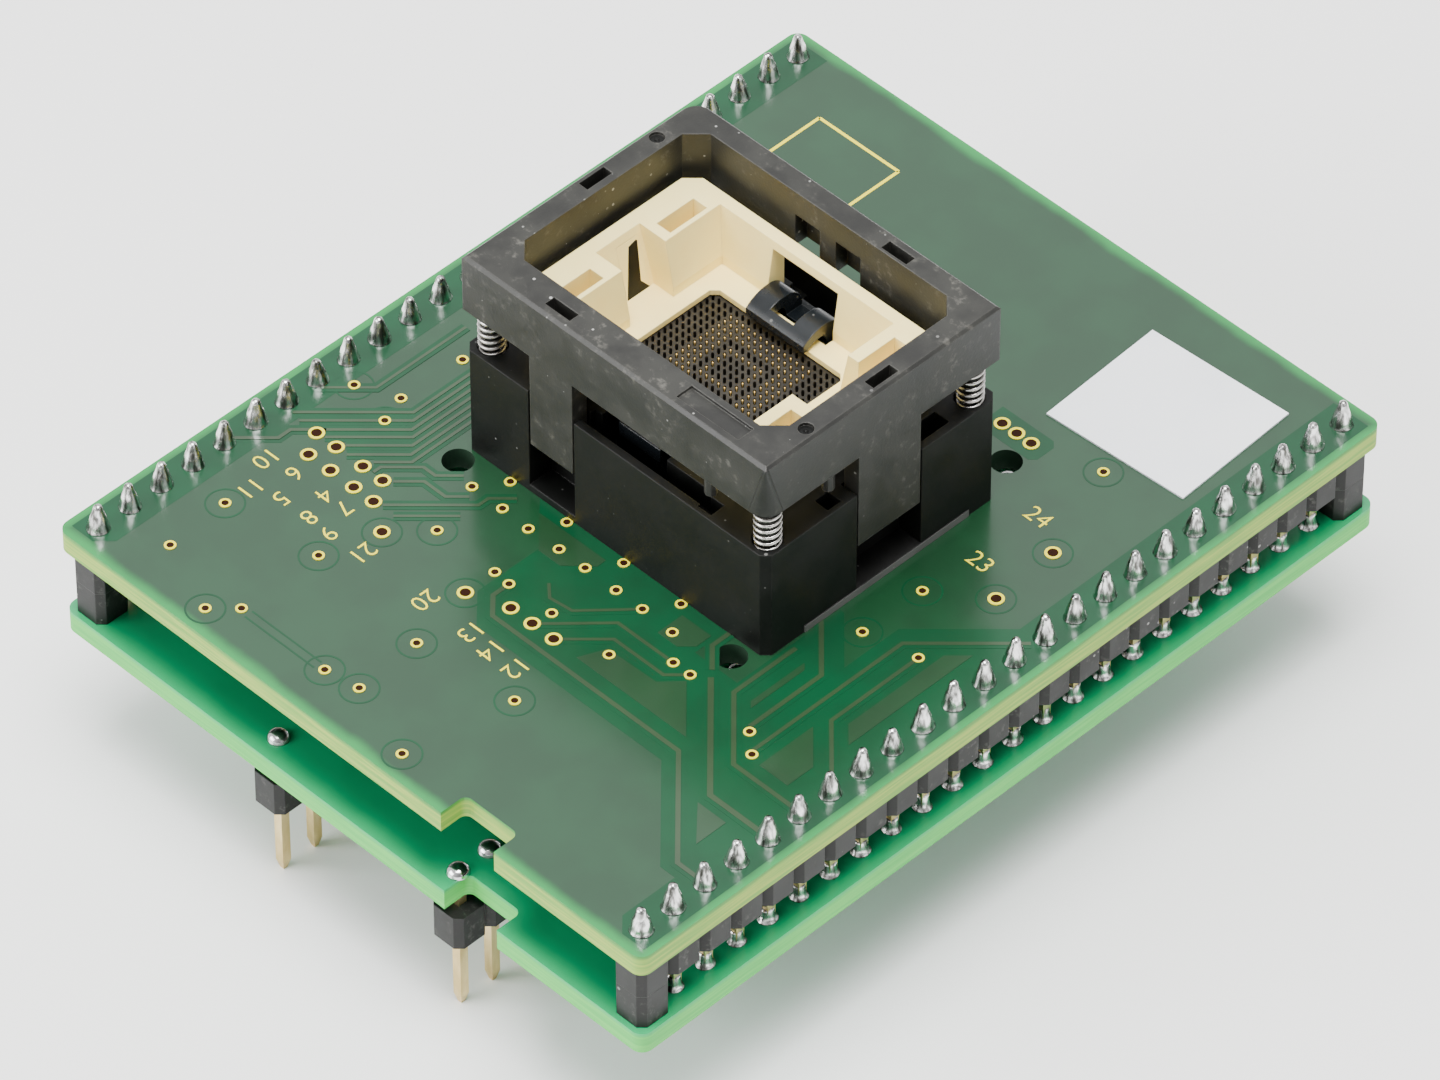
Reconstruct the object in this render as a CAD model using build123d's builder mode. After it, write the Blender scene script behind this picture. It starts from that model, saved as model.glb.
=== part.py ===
from build123d import *
import os
from math import atan, degrees, sqrt

# Two-board socket adapter: an open-top ball-grid test socket on a stack of two circuit boards.
# Frame: +Z up, origin under the middle of the pin field, z = 0 at the tips of the long pins.
# X runs across the boards and Y along them. All lengths are millimetres.

os.makedirs("parts", exist_ok=True)

# Pin headers
pitch = 2.54
positions = 24
link_row_pitches = 18
dil_row_pitches = 6
pin_side = 0.64
pin_hole_clearance = 0.05
strip_pin_clearance = 0.02
strip_width = 2.54
strip_height = 2.54
strip_notch = 0.45
dil_pin_reach = 6.0
dil_strip_gap = 0.9
pin_tip_length = 0.7
pin_tip_side = 0.3
spacer_height = 2.54

# Circuit boards
board_width = 49.2
board_length = 61.9
board_thickness = 1.55
board_corner = 0.8
lower_board_trim = 0.2
notch_left = 8.15
notch_width = 4.4
notch_depth = 2.0
notch_corner = 0.5
socket_hole_radius = 1.0
socket_hole_spacing = 23.0
socket_hole_centre = (-0.5, 1.27)
label_width = 10.7
label_length = 9.7
label_thickness = 0.12
label_centre = (15.0, 22.45)
label_turn = 3.0

# Solder on the pin ends
solder_radius = 0.85
cone_top_radius = 0.3
cone_height = 1.8
dome_top_radius = 0.45
dome_height = 0.75

# Socket, measured up from the top board. The nest holds one package over the contact field.
socket_y = 0.65
socket_width = 25.2
socket_length = 19.3
base_height = 8.2
base_corner = 0.5
package_width = 13.0
package_length = 11.5
package_clearance = 0.05

# Alignment plate let into the underside of the base
plate_thickness = 0.55
plate_proud = 0.06
plate_end_margin = 2.35
plate_side_margin = 3.15
plate_clearance = 0.05

# Contact block, contacts and perforated slider
ledge_side = 1.05
ledge_end = 1.65
slider_lap_side = 1.55
slider_lap_end = 0.9
cavity_clearance_side = 0.5
cavity_clearance_end = 0.35
slider_drop = 0.1
slider_thickness = 0.8
slider_travel = 0.2
slider_gap = 0.1
contact_pitch = 0.5
contact_count = 14
outer_rings = 3
inner_ring = 6
contact_radius = 0.11
contact_tip_radius = 0.05
contact_rise = 0.25
slot_clearance = 0.02
slot_end = 0.3

# Cover
cover_depth = 4.3
cover_travel = 2.6
cover_reserve = 0.4
cover_clearance = 0.15
rim_side = 1.65
rim_south = 2.35
rim_north = 1.6
opening_corner = 1.2
cover_corner = 0.5
cover_mark_corner = 1.2
cover_facet = 1.3
cover_edge_chamfer = 0.2
leg_thickness = 1.2
leg_length = 7.2
leg_hook_depth = 0.35
leg_hook_height = 1.0
leg_clearance = 0.15
side_leg_width = 3.55
side_leg_centre = 5.22
end_leg_width = 5.1
end_leg_centre = 0.55
rim_slot_length = 2.05
rim_slot_width = 0.75
rim_slot_depth = 2.5
rim_slot_inset_side = 0.65
rim_slot_inset_end = 0.4
recess_depth = 0.22
recess_length = 5.05
recess_width = 1.27
recess_inset_end = 2.9
recess_inset_side = 0.62
dimple_radius = 0.5
dimple_depth = 0.25
dimple_sides = 12
dimple_inset = 0.8
dimple_y = 5.6
peg_radius = 0.4
peg_sides = 8
peg_length = 1.9
peg_hole_side = 1.1
peg_inset = 0.9
side_peg_x = 7.2
end_peg_y = 3.65
trough_depth = 1.8
trough_wall = 0.55
trough_width = 1.2
end_trough_length = 2.8

# Cover springs
spring_inset_x = 1.15
spring_inset_y = 1.3
spring_radius = 0.88
spring_wire = 0.2
spring_sides = 8
spring_pocket_sides = 12
spring_clearance = 0.05
spring_post_radius = 0.6
spring_post_sides = 8
spring_post_gap = 0.2
spring_pocket_depth = 2.7
spring_seat_depth = 2.0

# Package nest
nest_side_gap = 0.55
nest_height = 4.5
nest_corner = 0.9
ledge_thickness = 0.4
guide_height = 0.7
funnel_spread_side = 0.65
funnel_spread_end = 0.5
window_corner = 0.43
core_width = 1.15
core_depth = 3.0
core_inset_west = 2.32
core_inset_east = 1.77
north_core = (3.98, 3.05)
south_core = (-4.2, 2.3)
recess_top_inset = 1.0
recess_floor_inset = 2.2
west_recess = (-0.05, 3.6)
east_recess = (0.2, 4.6)
back_slot_inset = 2.4
back_slot_width = 1.85
back_slot_y = 0.53
window_lintel = 0.6

# Latches: distances outwards and upwards from the pivot, and the pivot from the package
latch_width = 4.8
latch_pivot_outset = 0.6
latch_pivot_drop = 3.6
latch_arm_inner = 0.75
latch_arm_outer = 0.55
latch_tip_reach = 2.7
latch_bar_width = 0.6
latch_tip_low = 4.15
latch_tip_high = 4.65
latch_crest = 5.35
latch_finger_gap = 1.9
latch_finger_root = 3.75
latch_tail_reach = 1.15
latch_tail_low = 2.4
latch_tail_high = 3.4
latch_tail_width = 3.4
latch_boss_radius = 0.95
latch_boss_sides = 12
latch_bore_clearance = 0.05
latch_side_clearance = 0.3
latch_pocket_wall = 0.55
latch_pocket_drop = 4.9
finger_pocket_skin = 0.6
finger_pocket_clearance = 0.3
finger_pocket_depth = 2.5
pivot_radius = 0.5
pivot_fit = 0.02
pivot_grip = 1.0

# Heights worked out from the stack
dil_strip_bottom = dil_pin_reach
dil_strip_top = dil_strip_bottom + strip_height
lower_board_bottom = dil_strip_top + dil_strip_gap
lower_board_top = lower_board_bottom + board_thickness
spacer_top = lower_board_top + spacer_height
top_board_bottom = spacer_top + strip_height
top_board_top = top_board_bottom + board_thickness

link_x = link_row_pitches * pitch / 2
dil_x = dil_row_pitches * pitch / 2
row_length = positions * pitch
pin_hole_side = pin_side + 2 * pin_hole_clearance
strip_hole_side = pin_side + 2 * strip_pin_clearance

half_width = socket_width / 2
half_length = socket_length / 2
plate_south = plate_side_margin - half_length
plate_north = half_length - plate_end_margin
cover_bottom = base_height + cover_travel + cover_reserve
cover_top = cover_bottom + cover_depth
leg_bottom = cover_bottom - leg_length
opening_width = socket_width - 2 * rim_side
opening_south = rim_south - half_length
opening_north = half_length - rim_north
opening_length = opening_north - opening_south
opening_shift = (opening_north + opening_south) / 2
spring_x = half_width - spring_inset_x
spring_y = half_length - spring_inset_y
spring_pocket_radius = spring_radius + spring_clearance
spring_pocket_floor = base_height - spring_pocket_depth
spring_seat = cover_bottom + spring_seat_depth
spring_post_bottom = spring_pocket_floor + cover_travel + spring_post_gap

nest_width = opening_width - 2 * nest_side_gap
nest_length = -2 * (opening_south + cover_clearance)
nest_top = base_height + nest_height
ledge_height = base_height + ledge_thickness
guide_top = ledge_height + guide_height
guide_width = package_width + 2 * package_clearance
guide_length = package_length + 2 * package_clearance
funnel_width = guide_width + 2 * funnel_spread_side
funnel_length = guide_length + 2 * funnel_spread_end
window_width = package_width - 2 * ledge_side
window_length = package_length - 2 * ledge_end

slider_width = window_width + 2 * slider_lap_side
slider_length = window_length + 2 * slider_lap_end
slider_top = base_height - slider_drop
block_height = slider_top - slider_thickness - slider_gap
contact_top = slider_top + contact_rise
slot_width = 2 * (contact_radius + slot_clearance)
cavity_width = slider_width + 2 * cavity_clearance_side
cavity_length = slider_length + 2 * cavity_clearance_end

latch_pivot_y = package_length / 2 + latch_pivot_outset
latch_pivot_z = base_height - latch_pivot_drop
latch_pocket_width = latch_width + 2 * latch_side_clearance
latch_pocket_inner = cavity_length / 2 - latch_side_clearance
latch_pocket_outer = half_length - latch_pocket_wall
latch_pocket_floor = base_height - latch_pocket_drop
nest_window_inner = latch_pivot_y - latch_arm_inner - 0.4
finger_pocket_top = cover_bottom + finger_pocket_depth


def socket_plane(height):
    """A horizontal plane over the socket's centre, at a height above the top board."""
    return Plane.XY.offset(top_board_top + height).shift_origin((0, socket_y, top_board_top + height))


def latch_plane(side, x):
    """An upright plane across X, with local x outwards over the latch and local y up."""
    return Plane(
        origin=(x * side, socket_y, top_board_top),
        x_dir=(0, side, 0),
        z_dir=(side, 0, 0),
    )


def row(x, count, first=0):
    """Places of the pins in one row, counted from the row's low Y end."""
    start = (first - (positions - 1) / 2) * pitch
    return [(x, start + index * pitch) for index in range(count)]


def board_outline(width, length):
    """A board with rounded corners and the notch in its low Y edge."""
    with BuildSketch() as outline:
        RectangleRounded(width, length, board_corner)
        notch_reach = notch_depth + board_corner
        with Locations((notch_left + notch_width / 2, -length / 2 + notch_depth - notch_reach / 2)):
            RectangleRounded(notch_width, notch_reach, notch_corner, mode=Mode.SUBTRACT)
        with Locations((notch_left + notch_width / 2, -length / 2)):
            Rectangle(notch_width, board_corner, mode=Mode.SUBTRACT)
    return outline.sketch


def strip_outline(x, count, first=0):
    """Plan of a header strip: one octagon to a position, with a hole for each pin."""
    places = row(x, count, first)
    middle = (places[0][1] + places[-1][1]) / 2
    joints = [(x + side * strip_width / 2, y - pitch / 2) for side in (-1, 1) for _, y in places]
    ends = [(x + side * strip_width / 2, places[-1][1] + pitch / 2) for side in (-1, 1)]
    with BuildSketch() as outline:
        with Locations((x, middle)):
            Rectangle(strip_width, count * pitch)
        with Locations(*joints, *ends):
            Rectangle(strip_notch * sqrt(2), strip_notch * sqrt(2), rotation=45, mode=Mode.SUBTRACT)
        with Locations(*places):
            Rectangle(strip_hole_side, strip_hole_side, mode=Mode.SUBTRACT)
    return outline.sketch


# Circuit boards

with BuildPart() as lower_board:
    with BuildSketch(Plane.XY.offset(lower_board_bottom)):
        add(board_outline(board_width - lower_board_trim, board_length - lower_board_trim))
        with Locations(*row(-dil_x, positions), *row(dil_x, positions)):
            Rectangle(pin_hole_side, pin_hole_side, mode=Mode.SUBTRACT)
    extrude(amount=board_thickness)
lower_board.part.label = "lower_board"
export_step(lower_board.part, "parts/lower_board.step")

with BuildPart() as top_board:
    with BuildSketch(Plane.XY.offset(top_board_bottom)):
        add(board_outline(board_width, board_length))
        with Locations(*row(-link_x, positions), *row(link_x, positions)):
            Rectangle(pin_hole_side, pin_hole_side, mode=Mode.SUBTRACT)
        with Locations(socket_hole_centre):
            with GridLocations(socket_hole_spacing, socket_hole_spacing, 2, 2):
                Circle(socket_hole_radius, mode=Mode.SUBTRACT)
    extrude(amount=board_thickness)
top_board.part.label = "top_board"
export_step(top_board.part, "parts/top_board.step")

with BuildPart() as blank_label:
    with BuildSketch(Plane.XY.offset(top_board_top)):
        with Locations(label_centre):
            Rectangle(label_width, label_length, rotation=label_turn)
    extrude(amount=label_thickness)
blank_label.part.label = "blank_label"
export_step(blank_label.part, "parts/blank_label.step")

# Header strips and spacers

for name, x, bottom in (
    ("link_strip_left", -link_x, spacer_top),
    ("link_strip_right", link_x, spacer_top),
    ("dil_strip_left", -dil_x, dil_strip_bottom),
    ("dil_strip_right", dil_x, dil_strip_bottom),
):
    with BuildPart() as strip:
        with BuildSketch(Plane.XY.offset(bottom)):
            add(strip_outline(x, positions))
        extrude(amount=strip_height)
    strip.part.label = name
    export_step(strip.part, f"parts/{name}.step")

with BuildPart() as corner_spacers:
    with BuildSketch(Plane.XY.offset(lower_board_top)):
        for x in (-link_x, link_x):
            add(strip_outline(x, 1))
            add(strip_outline(x, 1, positions - 1))
    extrude(amount=spacer_height)
corner_spacers.part.label = "corner_spacers"
export_step(corner_spacers.part, "parts/corner_spacers.step")

# Pins. The link pins stand on the lower board's pads and stop level with the top board,
# under their solder cones.

for name, x in (("link_pins_left", -link_x), ("link_pins_right", link_x)):
    with BuildPart() as link_pins:
        with BuildSketch(Plane.XY.offset(lower_board_top)):
            with Locations(*row(x, positions)):
                Rectangle(pin_side, pin_side)
        extrude(amount=top_board_top - lower_board_top)
    link_pins.part.label = name
    export_step(link_pins.part, f"parts/{name}.step")

with BuildPart() as dil_pin:
    with BuildSketch():
        Rectangle(pin_side, pin_side)
    extrude(amount=lower_board_top)
    tip_face = dil_pin.faces().sort_by(Axis.Z)[0]
    chamfer(
        tip_face.edges(),
        length=(pin_side - pin_tip_side) / 2,
        length2=pin_tip_length,
        reference=tip_face,
    )

for name, x in (("dil_pins_left", -dil_x), ("dil_pins_right", dil_x)):
    with BuildPart() as dil_pins:
        with Locations(*row(x, positions)):
            add(dil_pin.part)
    dil_pins.part.label = name
    export_step(dil_pins.part, f"parts/{name}.step")

# Solder: a six-sided taper over each pin end

half_flat = sqrt(3) / 2
with BuildPart() as link_solder:
    with BuildSketch(Plane.XY.offset(top_board_top)):
        with Locations(*row(-link_x, positions), *row(link_x, positions)):
            RegularPolygon(solder_radius, 6)
    cone_taper = degrees(atan((solder_radius - cone_top_radius) * half_flat / cone_height))
    extrude(amount=cone_height, taper=cone_taper)
link_solder.part.label = "link_solder"
export_step(link_solder.part, "parts/link_solder.step")

with BuildPart() as dil_solder:
    with BuildSketch(Plane.XY.offset(lower_board_top)):
        with Locations(*row(-dil_x, positions), *row(dil_x, positions)):
            RegularPolygon(solder_radius, 6)
    dome_taper = degrees(atan((solder_radius - dome_top_radius) * half_flat / dome_height))
    extrude(amount=dome_height, taper=dome_taper)
dil_solder.part.label = "dil_solder"
export_step(dil_solder.part, "parts/dil_solder.step")

# Places that the cover and the base share, from the socket's centre

side_legs = [(-side_leg_centre, -1), (side_leg_centre, 1)]
spring_places = [(x, y) for x in (-spring_x, spring_x) for y in (-spring_y, spring_y)]
side_peg_y = half_length - peg_inset
end_peg_x = half_width - peg_inset
peg_places = [
    (side_peg_x, -side_peg_y),
    (-side_peg_x, side_peg_y),
    (end_peg_x, -end_peg_y),
    (-end_peg_x, end_peg_y),
]


def leg_plan(thickness, grow, set_back=0.0):
    """Plan of the four legs, or of their channels when they are grown."""
    with BuildSketch() as plan:
        for x, side in side_legs:
            with Locations((x, side * (half_length - set_back - thickness / 2))):
                Rectangle(side_leg_width + 2 * grow, thickness)
        for side in (-1, 1):
            with Locations((side * (half_width - set_back - thickness / 2), end_leg_centre)):
                Rectangle(thickness, end_leg_width + 2 * grow)
    return plan.sketch


# Base: outer block, middle cavity, leg channels, latch pockets, spring pockets and pivot bores

channel_depth = leg_thickness + leg_clearance
hook_depth = leg_hook_depth + leg_clearance
peg_hole_floor = cover_bottom - peg_length - cover_travel - leg_clearance

with BuildPart() as socket_base:
    with BuildSketch(socket_plane(0)) as base_outline:
        Rectangle(socket_width, socket_length)
        chamfer(base_outline.vertices(), base_corner)
    extrude(amount=base_height)
    with BuildSketch(socket_plane(0)):
        with Locations((0, (plate_north + plate_south) / 2)):
            Rectangle(socket_width, plate_north - plate_south)
    extrude(amount=plate_thickness, mode=Mode.SUBTRACT)
    with BuildSketch(socket_plane(plate_thickness)):
        Rectangle(cavity_width, cavity_length)
        add(leg_plan(channel_depth, leg_clearance))
    extrude(amount=base_height - plate_thickness, mode=Mode.SUBTRACT)
    with BuildSketch(socket_plane(plate_thickness)):
        add(leg_plan(hook_depth, leg_clearance, channel_depth))
    extrude(
        amount=leg_bottom + leg_hook_height + leg_clearance - plate_thickness,
        mode=Mode.SUBTRACT,
    )
    with BuildSketch(socket_plane(latch_pocket_floor)):
        for side in (-1, 1):
            with Locations((0, side * (latch_pocket_outer + latch_pocket_inner) / 2)):
                Rectangle(latch_pocket_width, latch_pocket_outer - latch_pocket_inner)
    extrude(amount=base_height - latch_pocket_floor, mode=Mode.SUBTRACT)
    with BuildSketch(socket_plane(base_height)):
        for side in (-1, 1):
            trough_start = side_leg_centre - side_leg_width / 2 - leg_clearance
            trough_end = side_peg_x - peg_hole_side / 2
            trough_shift = (trough_end - trough_start) / 2
            trough_inset = trough_wall + trough_width / 2
            with Locations((-side * trough_shift, side * (half_length - trough_inset))):
                Rectangle(trough_end + trough_start, trough_width)
            end_edge = end_leg_width / 2 + end_leg_centre * side + leg_clearance
            with Locations((side * (half_width - trough_inset), side * (end_edge + end_trough_length / 2))):
                Rectangle(trough_width, end_trough_length)
    extrude(amount=-trough_depth, mode=Mode.SUBTRACT)
    with BuildSketch(socket_plane(spring_pocket_floor)):
        with Locations(*spring_places):
            RegularPolygon(spring_pocket_radius, spring_pocket_sides, major_radius=False)
    extrude(amount=base_height - spring_pocket_floor, mode=Mode.SUBTRACT)
    with BuildSketch(socket_plane(peg_hole_floor)):
        with Locations(*peg_places):
            Rectangle(peg_hole_side, peg_hole_side)
    extrude(amount=base_height - peg_hole_floor, mode=Mode.SUBTRACT)
    for side in (-1, 1):
        with BuildSketch(latch_plane(side, 0)):
            with Locations((latch_pivot_y, latch_pivot_z)):
                Circle(pivot_radius + pivot_fit)
        extrude(amount=latch_pocket_width / 2 + pivot_grip, both=True, mode=Mode.SUBTRACT)
socket_base.part.label = "socket_base"
export_step(socket_base.part, "parts/socket_base.step")

with BuildPart() as base_plate:
    with BuildSketch(socket_plane(0)):
        with Locations((0, (plate_north + plate_south) / 2)):
            Rectangle(
                socket_width + 2 * plate_proud,
                plate_north - plate_south - 2 * plate_clearance,
            )
    extrude(amount=plate_thickness)
base_plate.part.label = "base_plate"
export_step(base_plate.part, "parts/base_plate.step")

# Contact block, contacts and the perforated slider over them

with BuildPart() as contact_block:
    with BuildSketch(socket_plane(plate_thickness)) as block_outline:
        Rectangle(slider_width, slider_length)
        chamfer(block_outline.vertices(), base_corner)
    extrude(amount=block_height - plate_thickness)
contact_block.part.label = "contact_block"
export_step(contact_block.part, "parts/contact_block.step")


def is_contact(column, line):
    """True where the ball map has a contact: three outer rings, one inner ring, one index."""
    depth = min(column, line, contact_count - 1 - column, contact_count - 1 - line)
    inner_depth = (contact_count - inner_ring) // 2
    index_contact = column == outer_rings and line == outer_rings
    return depth < outer_rings or depth == inner_depth or index_contact


def contact_place(column, line):
    """Plan position of one contact, from the socket's centre."""
    middle = (contact_count - 1) / 2
    return ((column - middle) * contact_pitch, (line - middle) * contact_pitch)


contact_places = [
    contact_place(column, line)
    for column in range(contact_count)
    for line in range(contact_count)
    if is_contact(column, line)
]

with BuildPart() as contact_pins:
    contact_length = contact_top - block_height
    with BuildSketch(socket_plane(block_height)):
        with Locations(*contact_places):
            RegularPolygon(contact_radius, 3)
    extrude(
        amount=contact_length,
        taper=degrees(atan((contact_radius - contact_tip_radius) / 2 / contact_length)),
    )
contact_pins.part.label = "contact_pins"
export_step(contact_pins.part, "parts/contact_pins.step")

with BuildPart() as contact_slider:
    with BuildSketch(socket_plane(slider_top)) as slider_plan:
        Rectangle(slider_width, slider_length)
        chamfer(slider_plan.vertices(), base_corner)
        for diagonal in range(2 * contact_count - 1):
            steps = diagonal - (contact_count - 1)
            middle = steps * contact_pitch / 2
            in_line = contact_count - abs(steps)
            length = (in_line - 1) * contact_pitch * sqrt(2) + 2 * slot_end + 2 * slider_travel
            with Locations((middle, middle)):
                Rectangle(length, slot_width, rotation=135, mode=Mode.SUBTRACT)
    extrude(amount=-slider_thickness)
contact_slider.part.label = "contact_slider"
export_step(contact_slider.part, "parts/contact_slider.step")

# Package nest: funnel down to a ledge round the contact window, with cored walls

with BuildPart() as package_nest:
    with BuildSketch(socket_plane(base_height)) as nest_outline:
        Rectangle(nest_width, nest_length)
        chamfer(nest_outline.vertices(), nest_corner)
    extrude(amount=nest_top - base_height)
    with BuildSketch(socket_plane(base_height)) as window_outline:
        Rectangle(window_width, window_length)
        chamfer(window_outline.vertices(), window_corner)
    extrude(amount=ledge_height - base_height, mode=Mode.SUBTRACT)
    with BuildSketch(socket_plane(ledge_height)):
        Rectangle(guide_width, guide_length)
    extrude(amount=guide_top - ledge_height, mode=Mode.SUBTRACT)
    with BuildSketch(socket_plane(guide_top)):
        Rectangle(guide_width, guide_length)
    with BuildSketch(socket_plane(nest_top)):
        Rectangle(funnel_width, funnel_length)
    loft(mode=Mode.SUBTRACT)
    nest_edge = nest_width / 2
    recess_start = window_width / 2 + ledge_side / 2
    for side, (middle, length) in ((-1, west_recess), (1, east_recess)):
        north = Plane(
            origin=(0, socket_y + middle + length / 2, top_board_top),
            x_dir=(1, 0, 0),
            z_dir=(0, -1, 0),
        )
        with BuildSketch(north):
            with BuildLine():
                Polyline(
                    (side * recess_start, ledge_height),
                    (side * (nest_edge - recess_floor_inset), ledge_height),
                    (side * (nest_edge - recess_top_inset), nest_top),
                    (side * recess_start, nest_top),
                    close=True,
                )
            make_face()
        extrude(amount=length, mode=Mode.SUBTRACT)
    with BuildSketch(socket_plane(nest_top)):
        for core_y, core_length in (north_core, south_core):
            west_core = (core_inset_west - nest_edge, core_y)
            east_core = (nest_edge - core_inset_east, core_y)
            with Locations(west_core, east_core):
                Rectangle(core_width, core_length)
    extrude(amount=-core_depth, mode=Mode.SUBTRACT)
    with BuildSketch(socket_plane(ledge_height)):
        with Locations((-nest_edge, back_slot_y)):
            Rectangle(2 * back_slot_inset, back_slot_width)
    extrude(amount=nest_top - window_lintel - ledge_height, mode=Mode.SUBTRACT)
    with BuildSketch(socket_plane(base_height)):
        for side in (-1, 1):
            with Locations((0, side * (nest_window_inner + nest_length / 2) / 2)):
                Rectangle(latch_pocket_width, nest_length / 2 - nest_window_inner)
    extrude(amount=nest_height - window_lintel, mode=Mode.SUBTRACT)
package_nest.part.label = "package_nest"
export_step(package_nest.part, "parts/package_nest.step")

# Latches: two curved fingers and a cross bar on a pivot boss, with a tail pad outside

for name, side in (("latch_north", 1), ("latch_south", -1)):
    arm_inner = latch_pivot_y - latch_arm_inner
    arm_outer = latch_pivot_y + latch_arm_outer
    tip = latch_pivot_y - latch_tip_reach
    tip_low = latch_pivot_z + latch_tip_low
    tip_high = latch_pivot_z + latch_tip_high
    crest = latch_pivot_z + latch_crest
    tail = latch_pivot_y + latch_tail_reach
    tail_low = latch_pivot_z + latch_tail_low
    tail_high = latch_pivot_z + latch_tail_high
    finger_root = latch_pivot_z + latch_finger_root
    with BuildPart() as latch:
        with BuildSketch(latch_plane(side, -latch_width / 2)):
            with BuildLine():
                Polyline(
                    (arm_inner, latch_pivot_z),
                    (arm_inner, tip_low - 0.15),
                    (arm_inner - 0.3, tip_low + 0.4),
                    (tip + 0.85, tip_low + 0.35),
                    (tip + 0.3, tip_low),
                    (tip, tip_low),
                    (tip, tip_high),
                )
                ThreePointArc((tip, tip_high), (tip + 0.75, tip_high + 0.5), (arm_inner - 0.2, crest))
                ThreePointArc(
                    (arm_inner - 0.2, crest),
                    (arm_outer - 0.45, crest - 0.35),
                    (arm_outer, tail_high + 0.4),
                )
                Polyline(
                    (arm_outer, tail_high + 0.4),
                    (arm_outer, tail_high),
                    (tail, tail_high),
                    (tail, tail_low),
                    (arm_outer, tail_low - 0.4),
                    (arm_outer + 0.2, latch_pivot_z),
                    (arm_inner, latch_pivot_z),
                )
            make_face()
        extrude(amount=latch_width)
        with BuildSketch(latch_plane(side, -latch_width / 2)):
            with Locations((latch_pivot_y, latch_pivot_z)):
                RegularPolygon(latch_boss_radius, latch_boss_sides)
        extrude(amount=latch_width)
        with BuildSketch(latch_plane(side, -latch_width / 2)):
            with Locations((latch_pivot_y, latch_pivot_z)):
                Circle(pivot_radius + latch_bore_clearance)
        extrude(amount=latch_width, mode=Mode.SUBTRACT)
        with BuildSketch(latch_plane(side, -latch_finger_gap / 2)):
            bar_inner = tip + latch_bar_width
            with Locations(((bar_inner + arm_inner) / 2, finger_root + latch_crest / 4)):
                Rectangle(arm_inner - bar_inner, latch_crest / 2)
            with Locations(((arm_inner + tail) / 2, finger_root + latch_crest / 4)):
                Rectangle(tail - arm_inner + 0.1, latch_crest / 2)
        extrude(amount=latch_finger_gap, mode=Mode.SUBTRACT)
        tail_side = (latch_width - latch_tail_width) / 2
        for end in (-1, 1):
            with BuildSketch(latch_plane(side, end * (latch_width - tail_side) / 2 - tail_side / 2)):
                with Locations((tail, (tail_high + tail_low) / 2)):
                    Rectangle(2 * (tail - arm_outer) - 0.01, tail_high - tail_low + 0.9)
            extrude(amount=tail_side, mode=Mode.SUBTRACT)
    latch.part.label = name
    export_step(latch.part, f"parts/{name}.step")

with BuildPart() as latch_pivot_pins:
    for side in (-1, 1):
        with BuildSketch(latch_plane(side, 0)):
            with Locations((latch_pivot_y, latch_pivot_z)):
                Circle(pivot_radius)
        extrude(amount=latch_pocket_width / 2 + pivot_grip - pivot_fit, both=True)
latch_pivot_pins.part.label = "latch_pivot_pins"
export_step(latch_pivot_pins.part, "parts/latch_pivot_pins.step")

# Cover: octagonal opening in a deep rim, four hooked legs, pegs, pockets and rim slots

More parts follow.
